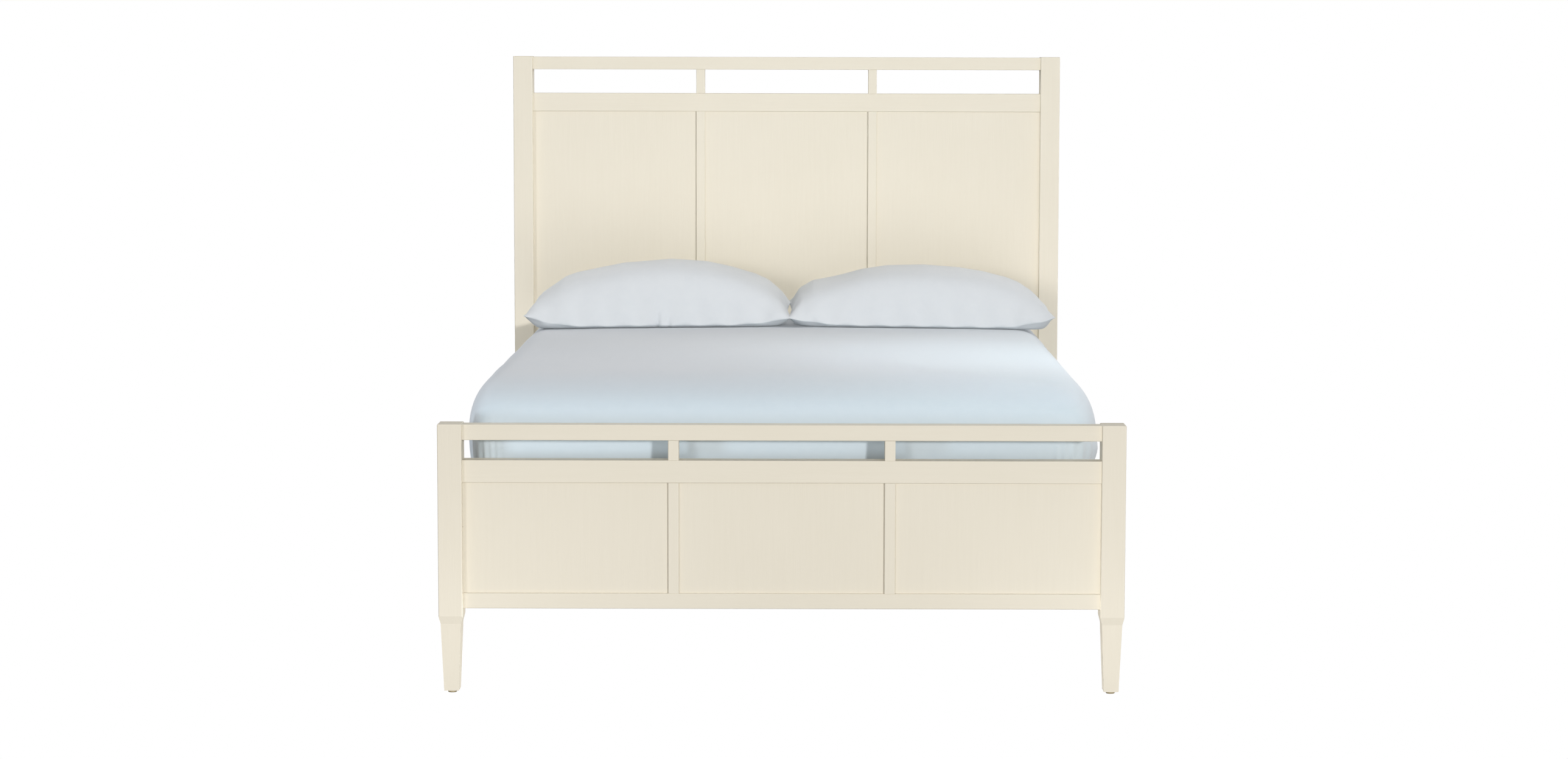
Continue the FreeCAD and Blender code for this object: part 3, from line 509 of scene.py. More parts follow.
@dataclass(frozen=True)
class ClothFinish:
    """Woven cloth with fine threads and a soft sheen, and optionally a painted sheen tone where it is seen
    at a glancing angle.
    """

    name: str
    tone: Colour
    # darker tone, used for the random mottle and for the painted shade in the hollows between threads
    shade_tone: Colour
    threads: float
    relief: float
    # painted sheen: tone that the cloth is drawn towards where it is seen at a glancing angle
    painted_sheen_tone: Colour | None = None
    painted_sheen_share: Remap = (0.25, 1.0, 0.0, 1.0)
    specular: float = 0.22
    sheen: float = 0.2
    sheen_rough: float = 0.5
    mottle_share: Remap = (0.3, 0.75, 0.0, 0.5)
    mottle_height: float = 2.0
    # painted shade between threads: lower thread height gives more of the darker tone
    weave_hollow_shade: Remap = (-1.0, 0.4, 0.3, 0.0)
    rough: Span = (0.78, 0.92)
    bump_strength: float = 0.35

    def material(self) -> Material:
        """Build the material.

        Returns:
            The material.
        """
        material, wiring, shader = start_material(
            self.name,
            Specular_IOR_Level=self.specular,
            Sheen_Weight=self.sheen,
            Sheen_Roughness=self.sheen_rough,
        )
        weave = GROUPS.place(wiring, "Weave", {"Vector": wiring.object_place(), "Threads": self.threads})
        mottle, threads = weave.outputs["Mottle"], weave.outputs["Height"]
        # Painted shade: the low hollows of the weave are drawn towards the darker tone, added to the
        # random mottle.
        weave_hollow_shade = wiring.remap(threads, *self.weave_hollow_shade)
        share = wiring.calc("ADD", wiring.remap(mottle, *self.mottle_share), weave_hollow_shade)
        colour = wiring.blend(share, rgba(self.tone), rgba(self.shade_tone))
        # Painted sheen: blend towards a greyer tone where the cloth faces away from the view, standing in
        # for how light falls across it at a glance.
        if self.painted_sheen_tone:
            facing = wiring.add("ShaderNodeLayerWeight", {"Blend": 0.5}).outputs["Facing"]
            painted_sheen_mix = wiring.remap(facing, *self.painted_sheen_share)
            colour = wiring.blend(painted_sheen_mix, colour, rgba(self.painted_sheen_tone))
        rough = wiring.remap(mottle, *NOISE_SPAN, *self.rough)
        height = wiring.calc("ADD", threads, wiring.calc("MULTIPLY", mottle, self.mottle_height))
        wiring.cover(shader, colour, rough, height, (self.bump_strength, self.relief))
        return material


CREAM_PAINT = PaintFinish("cream_paint", (0.790, 0.733, 0.615), (0.755, 0.697, 0.575))
PLAIN_PINE = PineFinish("plain_pine", (0.66, 0.48, 0.29), (0.50, 0.31, 0.155))
ZINC_STEEL = HardFinish("zinc_steel", (0.60, 0.60, 0.61), (0.48, 0.48, 0.49), 1.0, (0.26, 0.44))
BLACK_STEEL = HardFinish("black_steel", (0.028, 0.028, 0.03), (0.05, 0.05, 0.052), 0.0, (0.42, 0.6))
GLIDE_PLASTIC = HardFinish("glide_plastic", (0.47, 0.395, 0.25), (0.40, 0.33, 0.20), 0.0, (0.4, 0.55))
# The sheet's last tone is a painted sheen for glancing views.
SHEET_COTTON = ClothFinish(
    "sheet_cotton", (0.625, 0.70, 0.745), (0.595, 0.675, 0.725), 900.0, 0.00018, (0.65, 0.67, 0.70)
)
PILLOW_COTTON = ClothFinish("pillow_cotton", (0.645, 0.664, 0.680), (0.612, 0.636, 0.658), 900.0, 0.00018)
MATTRESS_TICKING = ClothFinish("mattress_ticking", (0.78, 0.77, 0.74), (0.70, 0.69, 0.66), 420.0, 0.0005)
SPRING_TICKING = ClothFinish("box_spring_ticking", (0.62, 0.62, 0.60), (0.52, 0.52, 0.505), 380.0, 0.0005)


def wear(piece: Piece, material: Material) -> None:
    """Give a piece one material in place of any other."""
    piece.data.materials.clear()
    piece.data.materials.append(material)


def dress(node: str, material: Material) -> None:
    """Give a CAD node its material and report it."""
    wear(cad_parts[node], material)
    log.info("%s wears %s", node, material.name)


@dataclass
class Board:
    """Headboard or footboard, whose solids come from the CAD model."""

    name: str
    level_parts: tuple[str, ...] = ("top_rail", "mid_rail", "bottom_rail")

    def dress(self, paints: dict[GrainRun, Material]) -> None:
        """Paint the board's parts, each with its own run of the grain.

        Args:
            paints: Paint for each run of the grain.
        """
        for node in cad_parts:
            if not node.startswith(f"{self.name}_"):
                continue
            part = node.removeprefix(f"{self.name}_")
            level = part in self.level_parts
            dress(node, paints[GrainRun.ACROSS if level else GrainRun.UPRIGHT])


@dataclass
class SlatBase:
    """Side rails, ledgers, slats, centre beam and centre leg."""

    slat_count: int = 5

    def dress(self, paints: dict[GrainRun, Material]) -> None:
        """Paint the side rails and leave the rest as plain pine.

        Args:
            paints: Paint for each run of the grain.
        """
        along = PLAIN_PINE.material(GrainRun.ALONG)
        across = PLAIN_PINE.material(GrainRun.ACROSS)
        for side in Side:
            dress(f"side_rail_{side.value}", paints[GrainRun.ALONG])
            dress(f"slat_ledger_{side.value}", along)
        dress("centre_beam", along)
        dress("centre_leg", PLAIN_PINE.material(GrainRun.UPRIGHT))
        for number in range(1, self.slat_count + 1):
            dress(f"slat_{number}", across)


@dataclass
class Hardware:
    """Plates, hangers, screws and levelling glides."""

    steel_nodes: tuple[str, ...] = (
        "rail_hook_plates",
        "post_slot_plates",
        "threaded_inserts",
        "ledger_screws",
        "slat_screws",
        "hanger_screws",
        "plate_screws",
    )

    def dress(self) -> None:
        """Give the metal and plastic pieces their finishes."""
        steel = ZINC_STEEL.material()
        plastic = GLIDE_PLASTIC.material()
        for node in self.steel_nodes:
            dress(node, steel)
        dress("beam_hangers", BLACK_STEEL.material())
        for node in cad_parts:
            if node.startswith("glide_stem_"):
                dress(node, steel)
            elif node.startswith("glide_"):
                dress(node, plastic)


@dataclass
class ClothRun:
    """Settings of one cloth simulation that fills a piece from inside."""

    pressure: float
    frames: int
    stiffness: float
    bending: float
    mass: float = 0.3
    damping: float = 1.5
    quality: int = 5

    def run(self, piece: Piece) -> None:
        """Swell a piece and apply the result to its mesh.

        Args:
            piece: Closed mesh.
        """
        cloth = piece.modifiers.new("Cloth", "CLOTH")
        settings = cloth.settings
        settings.quality = self.quality
        settings.mass = self.mass
        settings.air_damping = self.damping
        settings.tension_stiffness = self.stiffness
        settings.compression_stiffness = self.stiffness
        settings.shear_stiffness = self.stiffness / 2
        settings.bending_stiffness = self.bending
        settings.use_pressure = True
        settings.uniform_pressure_force = self.pressure
        settings.effector_weights.gravity = 0.0
        cloth.collision_settings.use_collision = False
        cloth.point_cache.frame_start = 1
        cloth.point_cache.frame_end = self.frames
        scene = bpy.context.scene
        for number in range(1, self.frames + 1):
            scene.frame_set(number)
        apply_modifier(piece, cloth.name)
        scene.frame_set(1)


@dataclass
class PaddedBlock:
    """Box spring or mattress: a rounded block swollen from inside, with taped edges."""

    node: str
    finish: ClothFinish
    tape_finish: ClothFinish
    fill: float
    corner: float
    easing_top: float
    easing_bottom: float
    inset: float
    skin: float = 0.0005
    tape_radius: float = 0.0045
    tape_rise: float = 0.012
    tape_drop: float = 0.018
    tape_steps: int = 16
    voxel: float = 0.024
    cap: float = 0.006
    level_slack: float = 1e-4
    swell: ClothRun = field(default_factory=lambda: ClothRun(4.0, 20, 15.0, 0.5))
    under: "FittedSheet | None" = None
    under_gap: float = 0.006

    def blank(self) -> Piece:
        """Cube shaped to the block's size with rounded corners and eased edges.

        Returns:
            The blank.
        """
        low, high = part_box(self.node)
        skin = Vector((self.inset, self.inset, self.skin))
        low, high = low + skin, high - skin
        block = added(bpy.ops.mesh.primitive_cube_add, size=1.0, location=(low + high) / 2)
        block.scale = high - low
        bpy.ops.object.transform_apply(location=True, rotation=False, scale=True)
        top, bottom = high.z - self.level_slack, low.z + self.level_slack
        self.bevel_edges(block, self.is_upright, self.corner, segments=10)
        self.bevel_edges(block, lambda a, b: min(a.z, b.z) > top, self.easing_top, segments=6)
        self.bevel_edges(block, lambda a, b: max(a.z, b.z) < bottom, self.easing_bottom, segments=4)
        return block

    @staticmethod
    def is_upright(first: Vector, second: Vector) -> bool:
        """Whether an edge stands upright."""
        return abs(first.z - second.z) > 0.5 * (first - second).length

    @staticmethod
    def bevel_edges(block: Piece, wanted: Callable, width: float, segments: int) -> None:
        """Round the edges that a test picks out.

        Args:
            block: Mesh object.
            wanted: Test on an edge's two ends.
            width: Width of the rounding.
            segments: Steps of the rounding.
        """
        make_active(block)
        mesh = block.data
        bpy.ops.object.mode_set(mode="EDIT")
        bpy.ops.mesh.select_mode(type="EDGE")
        bpy.ops.mesh.select_all(action="DESELECT")
        bpy.ops.object.mode_set(mode="OBJECT")
        for edge in mesh.edges:
            first, second = (mesh.vertices[index].co for index in edge.vertices)
            edge.select = bool(wanted(first, second))
        bpy.ops.object.mode_set(mode="EDIT")
        bpy.ops.mesh.bevel(offset=width, segments=segments, profile=0.5, affect="EDGES")
        bpy.ops.object.mode_set(mode="OBJECT")

    def fill_out(self, block: Piece) -> None:
        """Remesh the block evenly, swell its cover and keep it under a sheet that lies on it.

        Args:
            block: Blank of the block.
        """
        make_active(block)
        block.data.remesh_voxel_size = self.voxel
        bpy.ops.object.voxel_remesh()
        before = points_of(block)
        self.swell.run(block)
        moved = points_of(block) - before
        far = np.linalg.norm(moved, axis=1, keepdims=True)
        moved *= np.minimum(1.0, self.cap / np.maximum(far, TINY))
        level = before[:, 2]
        flat = (level < level.min() + self.level_slack) | (level > level.max() - self.level_slack)
        moved[flat, 2] = 0.0
        set_points(block, before + moved)
        refine(block)
        if self.under:
            places = points_of(block)
            ceiling = self.under.surface(places[:, 0], places[:, 1]) - self.under_gap
            places[:, 2] = np.minimum(places[:, 2], ceiling)
            set_points(block, places)

    def tape(self, level: float) -> Piece:
        """Tape-bound edge round the block at one level.

        Args:
            level: Height of its middle.

        Returns:
            The tape.
        """
        low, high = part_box(self.node)
        half_x = (high.x - low.x) / 2 - self.inset
        half_y = (high.y - low.y) / 2 - self.inset
        middle = (low + high) / 2
        ring = added(bpy.ops.mesh.primitive_circle_add, vertices=4 * (self.tape_steps + 1))
        places = []
        for turn, (sign_x, sign_y) in enumerate(((1, 1), (-1, 1), (-1, -1), (1, -1))):
            for step in range(self.tape_steps + 1):
                angle = math.pi / 2 * (turn + step / self.tape_steps)
                x = sign_x * (half_x - self.corner) + self.corner * math.cos(angle)
                y = sign_y * (half_y - self.corner) + self.corner * math.sin(angle)
                places.append((middle.x + x, middle.y + y, level))
        set_points(ring, np.array(places))
        bpy.ops.object.convert(target="CURVE")
        ring.data.bevel_depth = self.tape_radius
        ring.data.bevel_resolution = 4
        bpy.ops.object.convert(target="MESH")
        return bpy.context.object

    def build(self) -> Piece:
        """Make the block with its tapes as one piece.

        Returns:
            The piece.
        """
        low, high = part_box(self.node)
        block = self.blank()
        self.fill_out(block)
        wear(block, self.finish.material())
        binding = self.tape_finish.material()
        tapes = [self.tape(level) for level in (low.z + self.tape_rise, high.z - self.tape_drop)]
        make_active(block)
        for tape in tapes:
            wear(tape, binding)
            tape.select_set(True)
        bpy.ops.object.join()
        finish_piece(block, f"{self.node}_cover", self.node, self.node)
        return block


@dataclass(frozen=True)
class Roll:
    """How a sheet turns over one edge of the mattress."""

    half: float
    reach: float
    drop: float
    bulge: float = 0.0

    @property
    def flat(self) -> float:
        """Distance from the middle to where the edge begins to turn."""
        return self.half - self.reach

    @property
    def arc(self) -> float:
        """Length of cloth on the turn."""
        return math.pi / 2 * math.sqrt((self.reach**2 + self.drop**2) / 2)


@dataclass
class FittedSheet:
    """Cotton sheet drawn over the mattress, gathered at its corners."""

    cells_across: int = 168
    cells_along: int = 210
    left: Roll = Roll(0.786, 0.096, 0.144)
    right: Roll = Roll(0.789, 0.124, 0.158, 0.009)
    foot: Roll = Roll(1.022, 0.284, 0.148)
    head: Roll = Roll(1.020, 0.090, 0.085)
    corner_power: float = 3.5
    roll_power: float = 2.4
    bulge_rate: float = 1.2
    tuck: float = 0.006
    tuck_power: float = 1.5
    crown: float = 0.010
    gather_depth: float = 0.0030
    gather_pitch: float = 0.026
    gather_reach: float = 0.15
    gather_radius: float = 0.16
    gather_start: float = 0.55
    gather_wander: Ripple = Ripple(2.0, 9.0, 3.1)
    broad: Ripple = Ripple(0.0028, 2.3, 7.7)
    broad_stretch: Place = (1.0, 1.6, 1.0)
    fine: Ripple = Ripple(0.0007, 6.5, 1.9)
    ripple_end: Span = (0.3, 0.9)
    thickness: float = 0.0013

    def __post_init__(self) -> None:
        """Read the sheet's place from the CAD solid."""
        low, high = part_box("fitted_sheet")
        self.hem_z = low.z
        self.edge_z = high.z - self.crown

    def pick(self, x: np.ndarray, y: np.ndarray, size: str) -> tuple[np.ndarray, np.ndarray]:
        """Read a size of the rolls on the side and at the end where each point lies.

        Args:
            x: Places across the bed.
            y: Places along the bed.
            size: Name of the size.

        Returns:
            Sizes of the side rolls and of the end rolls.
        """
        across = np.where(x < 0, getattr(self.left, size), getattr(self.right, size))
        along = np.where(y < 0, getattr(self.foot, size), getattr(self.head, size))
        return across, along

    def top_level(self, x: np.ndarray) -> np.ndarray:
        """Height of the crowned top, before its edges turn over."""
        return self.edge_z + self.crown * (1.0 - np.minimum(np.abs(x) / self.left.half, 1.0) ** 2)

    def surface(self, x: np.ndarray, y: np.ndarray) -> np.ndarray:
        """Height of the sheet over a place on the bed.

        Args:
            x: Places across the bed.
            y: Places along the bed.

        Returns:
            Height at each place, down to the foot of the turn.
        """
        flat_x, flat_y = self.pick(x, y, "flat")
        reach_x, reach_y = self.pick(x, y, "reach")
        drop_x, drop_y = self.pick(x, y, "drop")
        over_x = np.clip((np.abs(x) - flat_x) / reach_x, 0.0, 1.0)
        over_y = np.clip((np.abs(y) - flat_y) / reach_y, 0.0, 1.0)
        power = self.roll_power
        run = np.minimum((over_x**power + over_y**power) ** (1 / power), 1.0)
        lean = over_x**2 / np.maximum(over_x**2 + over_y**2, TINY)
        drop = drop_x * lean + drop_y * (1.0 - lean)
        return self.top_level(x) - drop * (1.0 - (1.0 - run**power) ** (1 / power))

    def drape(self, grid: np.ndarray) -> np.ndarray:
        """Lay the flat grid over the mattress.

        Args:
            grid: Points of the grid between -1 and 1.

        Returns:
            Points in place.
        """
        sign_x, sign_y = np.sign(grid[:, 0]), np.sign(grid[:, 1])
        flat_x, flat_y = self.pick(sign_x, sign_y, "flat")
        reach_x, reach_y = self.pick(sign_x, sign_y, "reach")
        drop_x, drop_y = self.pick(sign_x, sign_y, "drop")
        arc_x, arc_y = self.pick(sign_x, sign_y, "arc")
        bulge_x, bulge_y = self.pick(sign_x, sign_y, "bulge")
        over_x = arc_x + self.edge_z - drop_x - self.hem_z
        over_y = arc_y + self.edge_z - drop_y - self.hem_z
        along_x = np.abs(grid[:, 0]) * (flat_x + over_x)
        along_y = np.abs(grid[:, 1]) * (flat_y + over_y)
        share_u = np.clip((along_x - flat_x) / over_x, 0.0, 1.0)
        share_v = np.clip((along_y - flat_y) / over_y, 0.0, 1.0)
        disc_u = share_u * np.sqrt(1.0 - share_v**2 / 2)
        disc_v = share_v * np.sqrt(1.0 - share_u**2 / 2)
        run = np.hypot(disc_u, disc_v)
        angle = np.arctan2(disc_v, disc_u)
        lean_x, lean_y = np.cos(angle) ** 2, np.sin(angle) ** 2
        turn_end = arc_x / over_x * lean_x + arc_y / over_y * lean_y
        drop = drop_x * lean_x + drop_y * lean_y
        bulge = bulge_x * lean_x + bulge_y * lean_y
        turn = np.clip(run / turn_end, 0.0, 1.0) * math.pi / 2
        fall = np.clip((run - turn_end) / (1.0 - turn_end), 0.0, 1.0)
        reach = np.sin(turn) ** (2 / self.roll_power)
        power = 2.0 + (self.corner_power - 2.0) * reach
        squarer = (np.cos(angle) ** power + np.sin(angle) ** power) ** (-1.0 / power)
        out_x, out_y = np.cos(angle) * squarer, np.sin(angle) * squarer
        swell = bulge * np.sin(math.pi * np.minimum(fall * self.bulge_rate, 1.0)) * (1.0 - fall)
        wall = swell - self.tuck * fall**self.tuck_power
        x = sign_x * (np.minimum(along_x, flat_x) + out_x * (reach_x * reach + wall))
        y = sign_y * (np.minimum(along_y, flat_y) + out_y * (reach_y * reach + wall))
        side_drop = self.edge_z - drop - self.hem_z
        sink = 1.0 - np.clip(np.cos(turn), 0.0, 1.0) ** (2 / self.roll_power)
        z = self.top_level(x) - drop * sink - side_drop * fall
        places = np.stack([x, y, z], axis=1)
        off_seam = angle - math.pi / 4
        beside = np.maximum(flat_y - along_y, 0.0) + np.maximum(flat_x - along_x, 0.0)
        from_seam = off_seam * self.gather_radius + np.sign(off_seam) * beside
        gather = np.exp(-((from_seam / self.gather_reach) ** 2)) * smooth_step(self.gather_start, 1.0, run)
        folds = np.sin(math.tau * from_seam / self.gather_pitch + self.gather_wander.at(places))
        inward = gather * self.gather_depth * (folds - 1.0)
        places[:, 0] += sign_x * np.cos(angle) * inward
        places[:, 1] += sign_y * np.sin(angle) * inward
        ripples = self.broad.at(places * np.array(self.broad_stretch)) + self.fine.at(places)
        places[:, 2] += ripples * (1.0 - smooth_step(*self.ripple_end, run))
        return places

    def build(self) -> Piece:
        """Make the sheet.

        Returns:
            The piece.
        """
        sheet = flat_grid(self.cells_across, self.cells_along)
        set_points(sheet, self.drape(points_of(sheet)))
        thick = sheet.modifiers.new("Thickness", "SOLIDIFY")
        thick.thickness = self.thickness
        thick.offset = -1.0
        apply_modifier(sheet, thick.name)
        wear(sheet, SHEET_COTTON.material())
        finish_piece(sheet, "fitted_sheet_cloth", "mattress", "fitted_sheet")
        return sheet


@dataclass
class Pillow:
    """Plump pillow in a plain cotton case, lying flat on the sheet."""

    side: Side
    sheet: FittedSheet
    seed: float
    outline: tuple[Span, ...]
    pinch: float | None = None
    cells_across: int = 96
    cells_deep: int = 60
    flat_width: float = 0.90
    flat_depth: float = 0.57
    band: float = 0.002
    seam_band: float = 0.16
    lens: float = 0.05
    lens_power: float = 2.6
    lens_ease: float = 0.6
    uneven: float = 0.12
    uneven_rate: float = 5.0
    pucker: float = 0.003
    pucker_rate: float = 62.0
    pucker_start: float = 0.75
    calm_passes: int = 60
    crest_slots: int = 60
    crest_least: float = 0.02
    rest_gap: float = 0.0012
    seam_low: float = 0.006
    tip_lifts: Span = (0.02, 0.02)
    back_lift: float = 0.010
    back_narrow: float = 0.03
    inner_start: float = 0.55
    inner_reach: float = 0.009
    inner_lift: float = 0.006
    under_ease: float = 0.42
    creases: tuple[tuple[float, float, float], ...] = ((-0.012, 0.055, 0.010), (0.022, 0.026, 0.008))
    crease_lean: float = 0.12
    crease_width: float = 0.0055
    crease_reach: Span = (0.03, 0.12)
    swell: ClothRun = field(default_factory=lambda: ClothRun(3.0, 14, 8.0, 4.0, mass=0.4, damping=6.0))

    @property
    def node(self) -> str:
        """CAD node and body that the pillow stands for."""
        return f"pillow_{self.side.value}"

    def blank(self) -> Piece:
        """Two flat layers of the case, joined round the edge, a little filled.

        Returns:
            The blank, with its seam at height 0.
        """
        case = flat_grid(self.cells_across, self.cells_deep)
        case.scale = (self.flat_width / 2, self.flat_depth / 2, 1.0)
        bpy.ops.object.transform_apply(location=False, rotation=False, scale=True)
        bpy.ops.object.mode_set(mode="EDIT")
        bpy.ops.mesh.select_all(action="SELECT")
        bpy.ops.mesh.extrude_region_move(TRANSFORM_OT_translate={"value": (0.0, 0.0, -self.band)})
        bpy.ops.mesh.select_all(action="SELECT")
        bpy.ops.mesh.normals_make_consistent(inside=False)
        bpy.ops.object.mode_set(mode="OBJECT")
        places = points_of(case)
        places[:, 2] += self.band / 2
        across = np.abs(places[:, 0] / self.flat_width * 2)
        deep = np.abs(places[:, 1] / self.flat_depth * 2)
        out = np.maximum(across, deep)
        self.upper = places[:, 2] > 0
        inner = case.vertex_groups.new(name="inner")
        for index, weight in enumerate(smooth_step(0.0, self.seam_band, 1.0 - out)):
            inner.add([index], float(weight), "REPLACE")
        power = self.lens_power
        rise = self.lens * np.clip((1.0 - across**power) * (1.0 - deep**power), 0.0, 1.0) ** self.lens_ease
        uneven = 1.0 + Ripple(self.uneven, self.uneven_rate, self.seed).at(places)
        places[:, 2] += np.sign(places[:, 2]) * rise * uneven
        along = np.where(across > deep, places[:, 1], places[:, 0])
        edge = smooth_step(self.pucker_start, 1.0, out)
        places[:, 2] += self.pucker * edge * np.sin(along * self.pucker_rate + self.seed)
        set_points(case, places)
        return case

    def calm(self, case: Piece) -> None:
        """Ease the finest wrinkles of the filled case, away from its seam.

        Args:
            case: Filled case.
        """
        smooth = case.modifiers.new("Calm", "SMOOTH")
        smooth.factor = 0.5
        smooth.iterations = self.calm_passes
        smooth.vertex_group = "inner"
        apply_modifier(case, smooth.name)

    def crest(self, across: np.ndarray, share: np.ndarray) -> np.ndarray:
        """Highest share of the filled case's upper side at each place across it.

        Args:
            across: Places between -1 and 1.
            share: Height of each point, as a share of the highest.

        Returns:
            Highest share near each point's place across.
        """
        bounds = np.linspace(-1.0, 1.0, self.crest_slots + 1)
        slots = np.clip(np.digitize(across, bounds) - 1, 0, self.crest_slots - 1)
        tops = np.full(self.crest_slots, self.crest_least)
        np.maximum.at(tops, slots[self.upper], share[self.upper])
        kernel = np.array([1.0, 2.0, 3.0, 2.0, 1.0]) / 9.0
        even = np.convolve(np.pad(tops, 2, mode="edge"), kernel, mode="valid")
        return np.interp(across, (bounds[:-1] + bounds[1:]) / 2, even)

    def settle(self, case: Piece) -> None:
        """Bring the filled case to its size and let it rest on the sheet.

        Args:
            case: Filled case about the origin.
        """
        low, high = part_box(self.node)
        places = points_of(case)
        size = places.max(axis=0) - places.min(axis=0)
        middle = (places.max(axis=0) + places.min(axis=0)) / 2
        local = places - middle
        across, deep = local[:, 0] / size[0] * 2, local[:, 1] / size[1] * 2
        share = np.clip(np.where(self.upper, places[:, 2], -places[:, 2]), 0.0, None)
        share[self.upper] /= share[self.upper].max()
        share[~self.upper] /= share[~self.upper].max()
        marks = np.array(self.outline)
        wanted = np.interp(across, marks[:, 0], marks[:, 1])
        shaped = np.clip(share / self.crest(across, share), 0.0, 1.0) * wanted
        tips = np.clip((np.abs(across) - 0.5) / 0.5, 0.0, 1.0) ** 2
        tips *= np.where(across < 0, *self.tip_lifts)
        inward = across if self.side is Side.LEFT else -across
        back = (deep + 1) / 2
        seam = self.seam_low + tips + self.back_lift * back
        seam += self.inner_lift * back * smooth_step(self.inner_start, 1.0, inward)
        x = across * (high.x - low.x) / 2 + (low.x + high.x) / 2
        y = deep * (high.y - low.y) / 2 + (low.y + high.y) / 2
        floor = self.sheet.top_level(x) + self.rest_gap
        peak = high.z - self.sheet.edge_z - self.sheet.crown
        top = floor + seam + (peak - seam) * shaped
        under = floor + seam * (1.0 - smooth_step(0.0, self.under_ease, share))
        z = np.where(self.upper, top, under)
        x -= (x - (low.x + high.x) / 2) * self.back_narrow * back * (inward < 0)
        x += np.where(inward > 0, self.inner_reach * across * np.abs(across), 0.0)
        set_points(case, np.stack([x, y, z], axis=1))

    def pinch_front(self, case: Piece) -> None:
        """Nip the front of the case into short creases, each given by its shift, height and depth.

        Args:
            case: Settled case.
        """
        low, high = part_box(self.node)
        places = points_of(case)
        middle = (low.x + high.x) / 2 + self.pinch * (high.x - low.x) / 2
        rise = places[:, 2] - self.sheet.top_level(places[:, 0])
        for shift, tall, depth in self.creases:
            lean = shift + rise * self.crease_lean
            near = np.exp(-(((places[:, 0] - middle - lean) / self.crease_width) ** 2))
            front = 1.0 - smooth_step(*self.crease_reach, places[:, 1] - low.y)
            places[:, 1] += depth * near * front * (1.0 - smooth_step(0.0, tall, rise))
        set_points(case, places)

    def build(self) -> Piece:
        """Make the pillow.

        Returns:
            The piece.
        """
        case = self.blank()
        self.swell.run(case)
        self.calm(case)
        self.settle(case)
        refine(case)
        if self.pinch is not None:
            self.pinch_front(case)
        wear(case, PILLOW_COTTON.material())
        finish_piece(case, f"{self.node}_case", self.node, self.node)
        return case


LEFT_OUTLINE = (
    (-1.0, 0.03), (-0.913, 0.38), (-0.82, 0.56), (-0.73, 0.72), (-0.64, 0.79), (-0.457, 0.87),
    (-0.274, 0.945), (0.09, 1.0), (0.365, 0.958), (0.548, 0.865), (0.73, 0.73), (0.82, 0.62),
    (0.913, 0.39), (1.0, 0.03),
)
RIGHT_OUTLINE = (
    (-1.0, 0.03), (-0.907, 0.47), (-0.813, 0.66), (-0.627, 0.775), (-0.441, 0.905), (-0.254, 0.975),
    (0.026, 1.0), (0.305, 0.957), (0.492, 0.895), (0.678, 0.785), (0.772, 0.69), (0.865, 0.51),
    (0.958, 0.25), (1.0, 0.03),
)


class LampKind(Enum):
    """Kind of a lamp."""

    FAR = "SUN"
    BOX = "AREA"


@dataclass(frozen=True)
class Lamp:
    """Soft light that hangs at a place and faces a point.

    A far lamp's size is its width in degrees, and its power a strength. A soft box's size is its
    width in metres, its depth is the same unless given, and its power is in watts. The lamp is kept
    to the set of pieces that it lights and to the set that can shade it.
    """

    name: str
    place: Place
    aim: Place
    size: float
    power: float
    lit: str = ""
    shaded_by: str = ""
    depth: float | None = None
    colour: Colour = (1.0, 1.0, 1.0)
    spread: float = 180.0
    kind: LampKind = LampKind.BOX

    def add(self) -> Piece:
        """Add the lamp.

        Returns:
            The light.
        """
        light = added(bpy.ops.object.light_add, type=self.kind.value, location=self.place)
        light.name = self.name
        light.data.energy = self.power
        light.data.color = self.colour
        if self.kind is LampKind.FAR:
            light.data.angle = math.radians(self.size)
        else:
            light.data.shape = "RECTANGLE"
            light.data.size = self.size
            light.data.size_y = self.depth or self.size
            light.data.spread = math.radians(self.spread)
            light.visible_camera = False
        facing = Vector(self.aim) - Vector(self.place)
        light.rotation_euler = facing.to_track_quat("-Z", "Y").to_euler()
        return light


def far_lamp(name: str, azimuth: float, height: float, *settings: object) -> Lamp:
    """Describe a far lamp.

    Args:
        name: Name of the lamp.
        azimuth: Degrees to the right of the bed's foot that its light comes from.
        height: Degrees above the level that its light comes from.
        settings: Its size, its power and the sets that it is kept to.

    Returns:
        The lamp.
    """
    turn, rise = math.radians(azimuth), math.radians(height)
    place = (math.sin(turn) * math.cos(rise), -math.cos(turn) * math.cos(rise), math.sin(rise))
    return Lamp(name, place, (0.0, 0.0, 0.0), *settings, kind=LampKind.FAR)


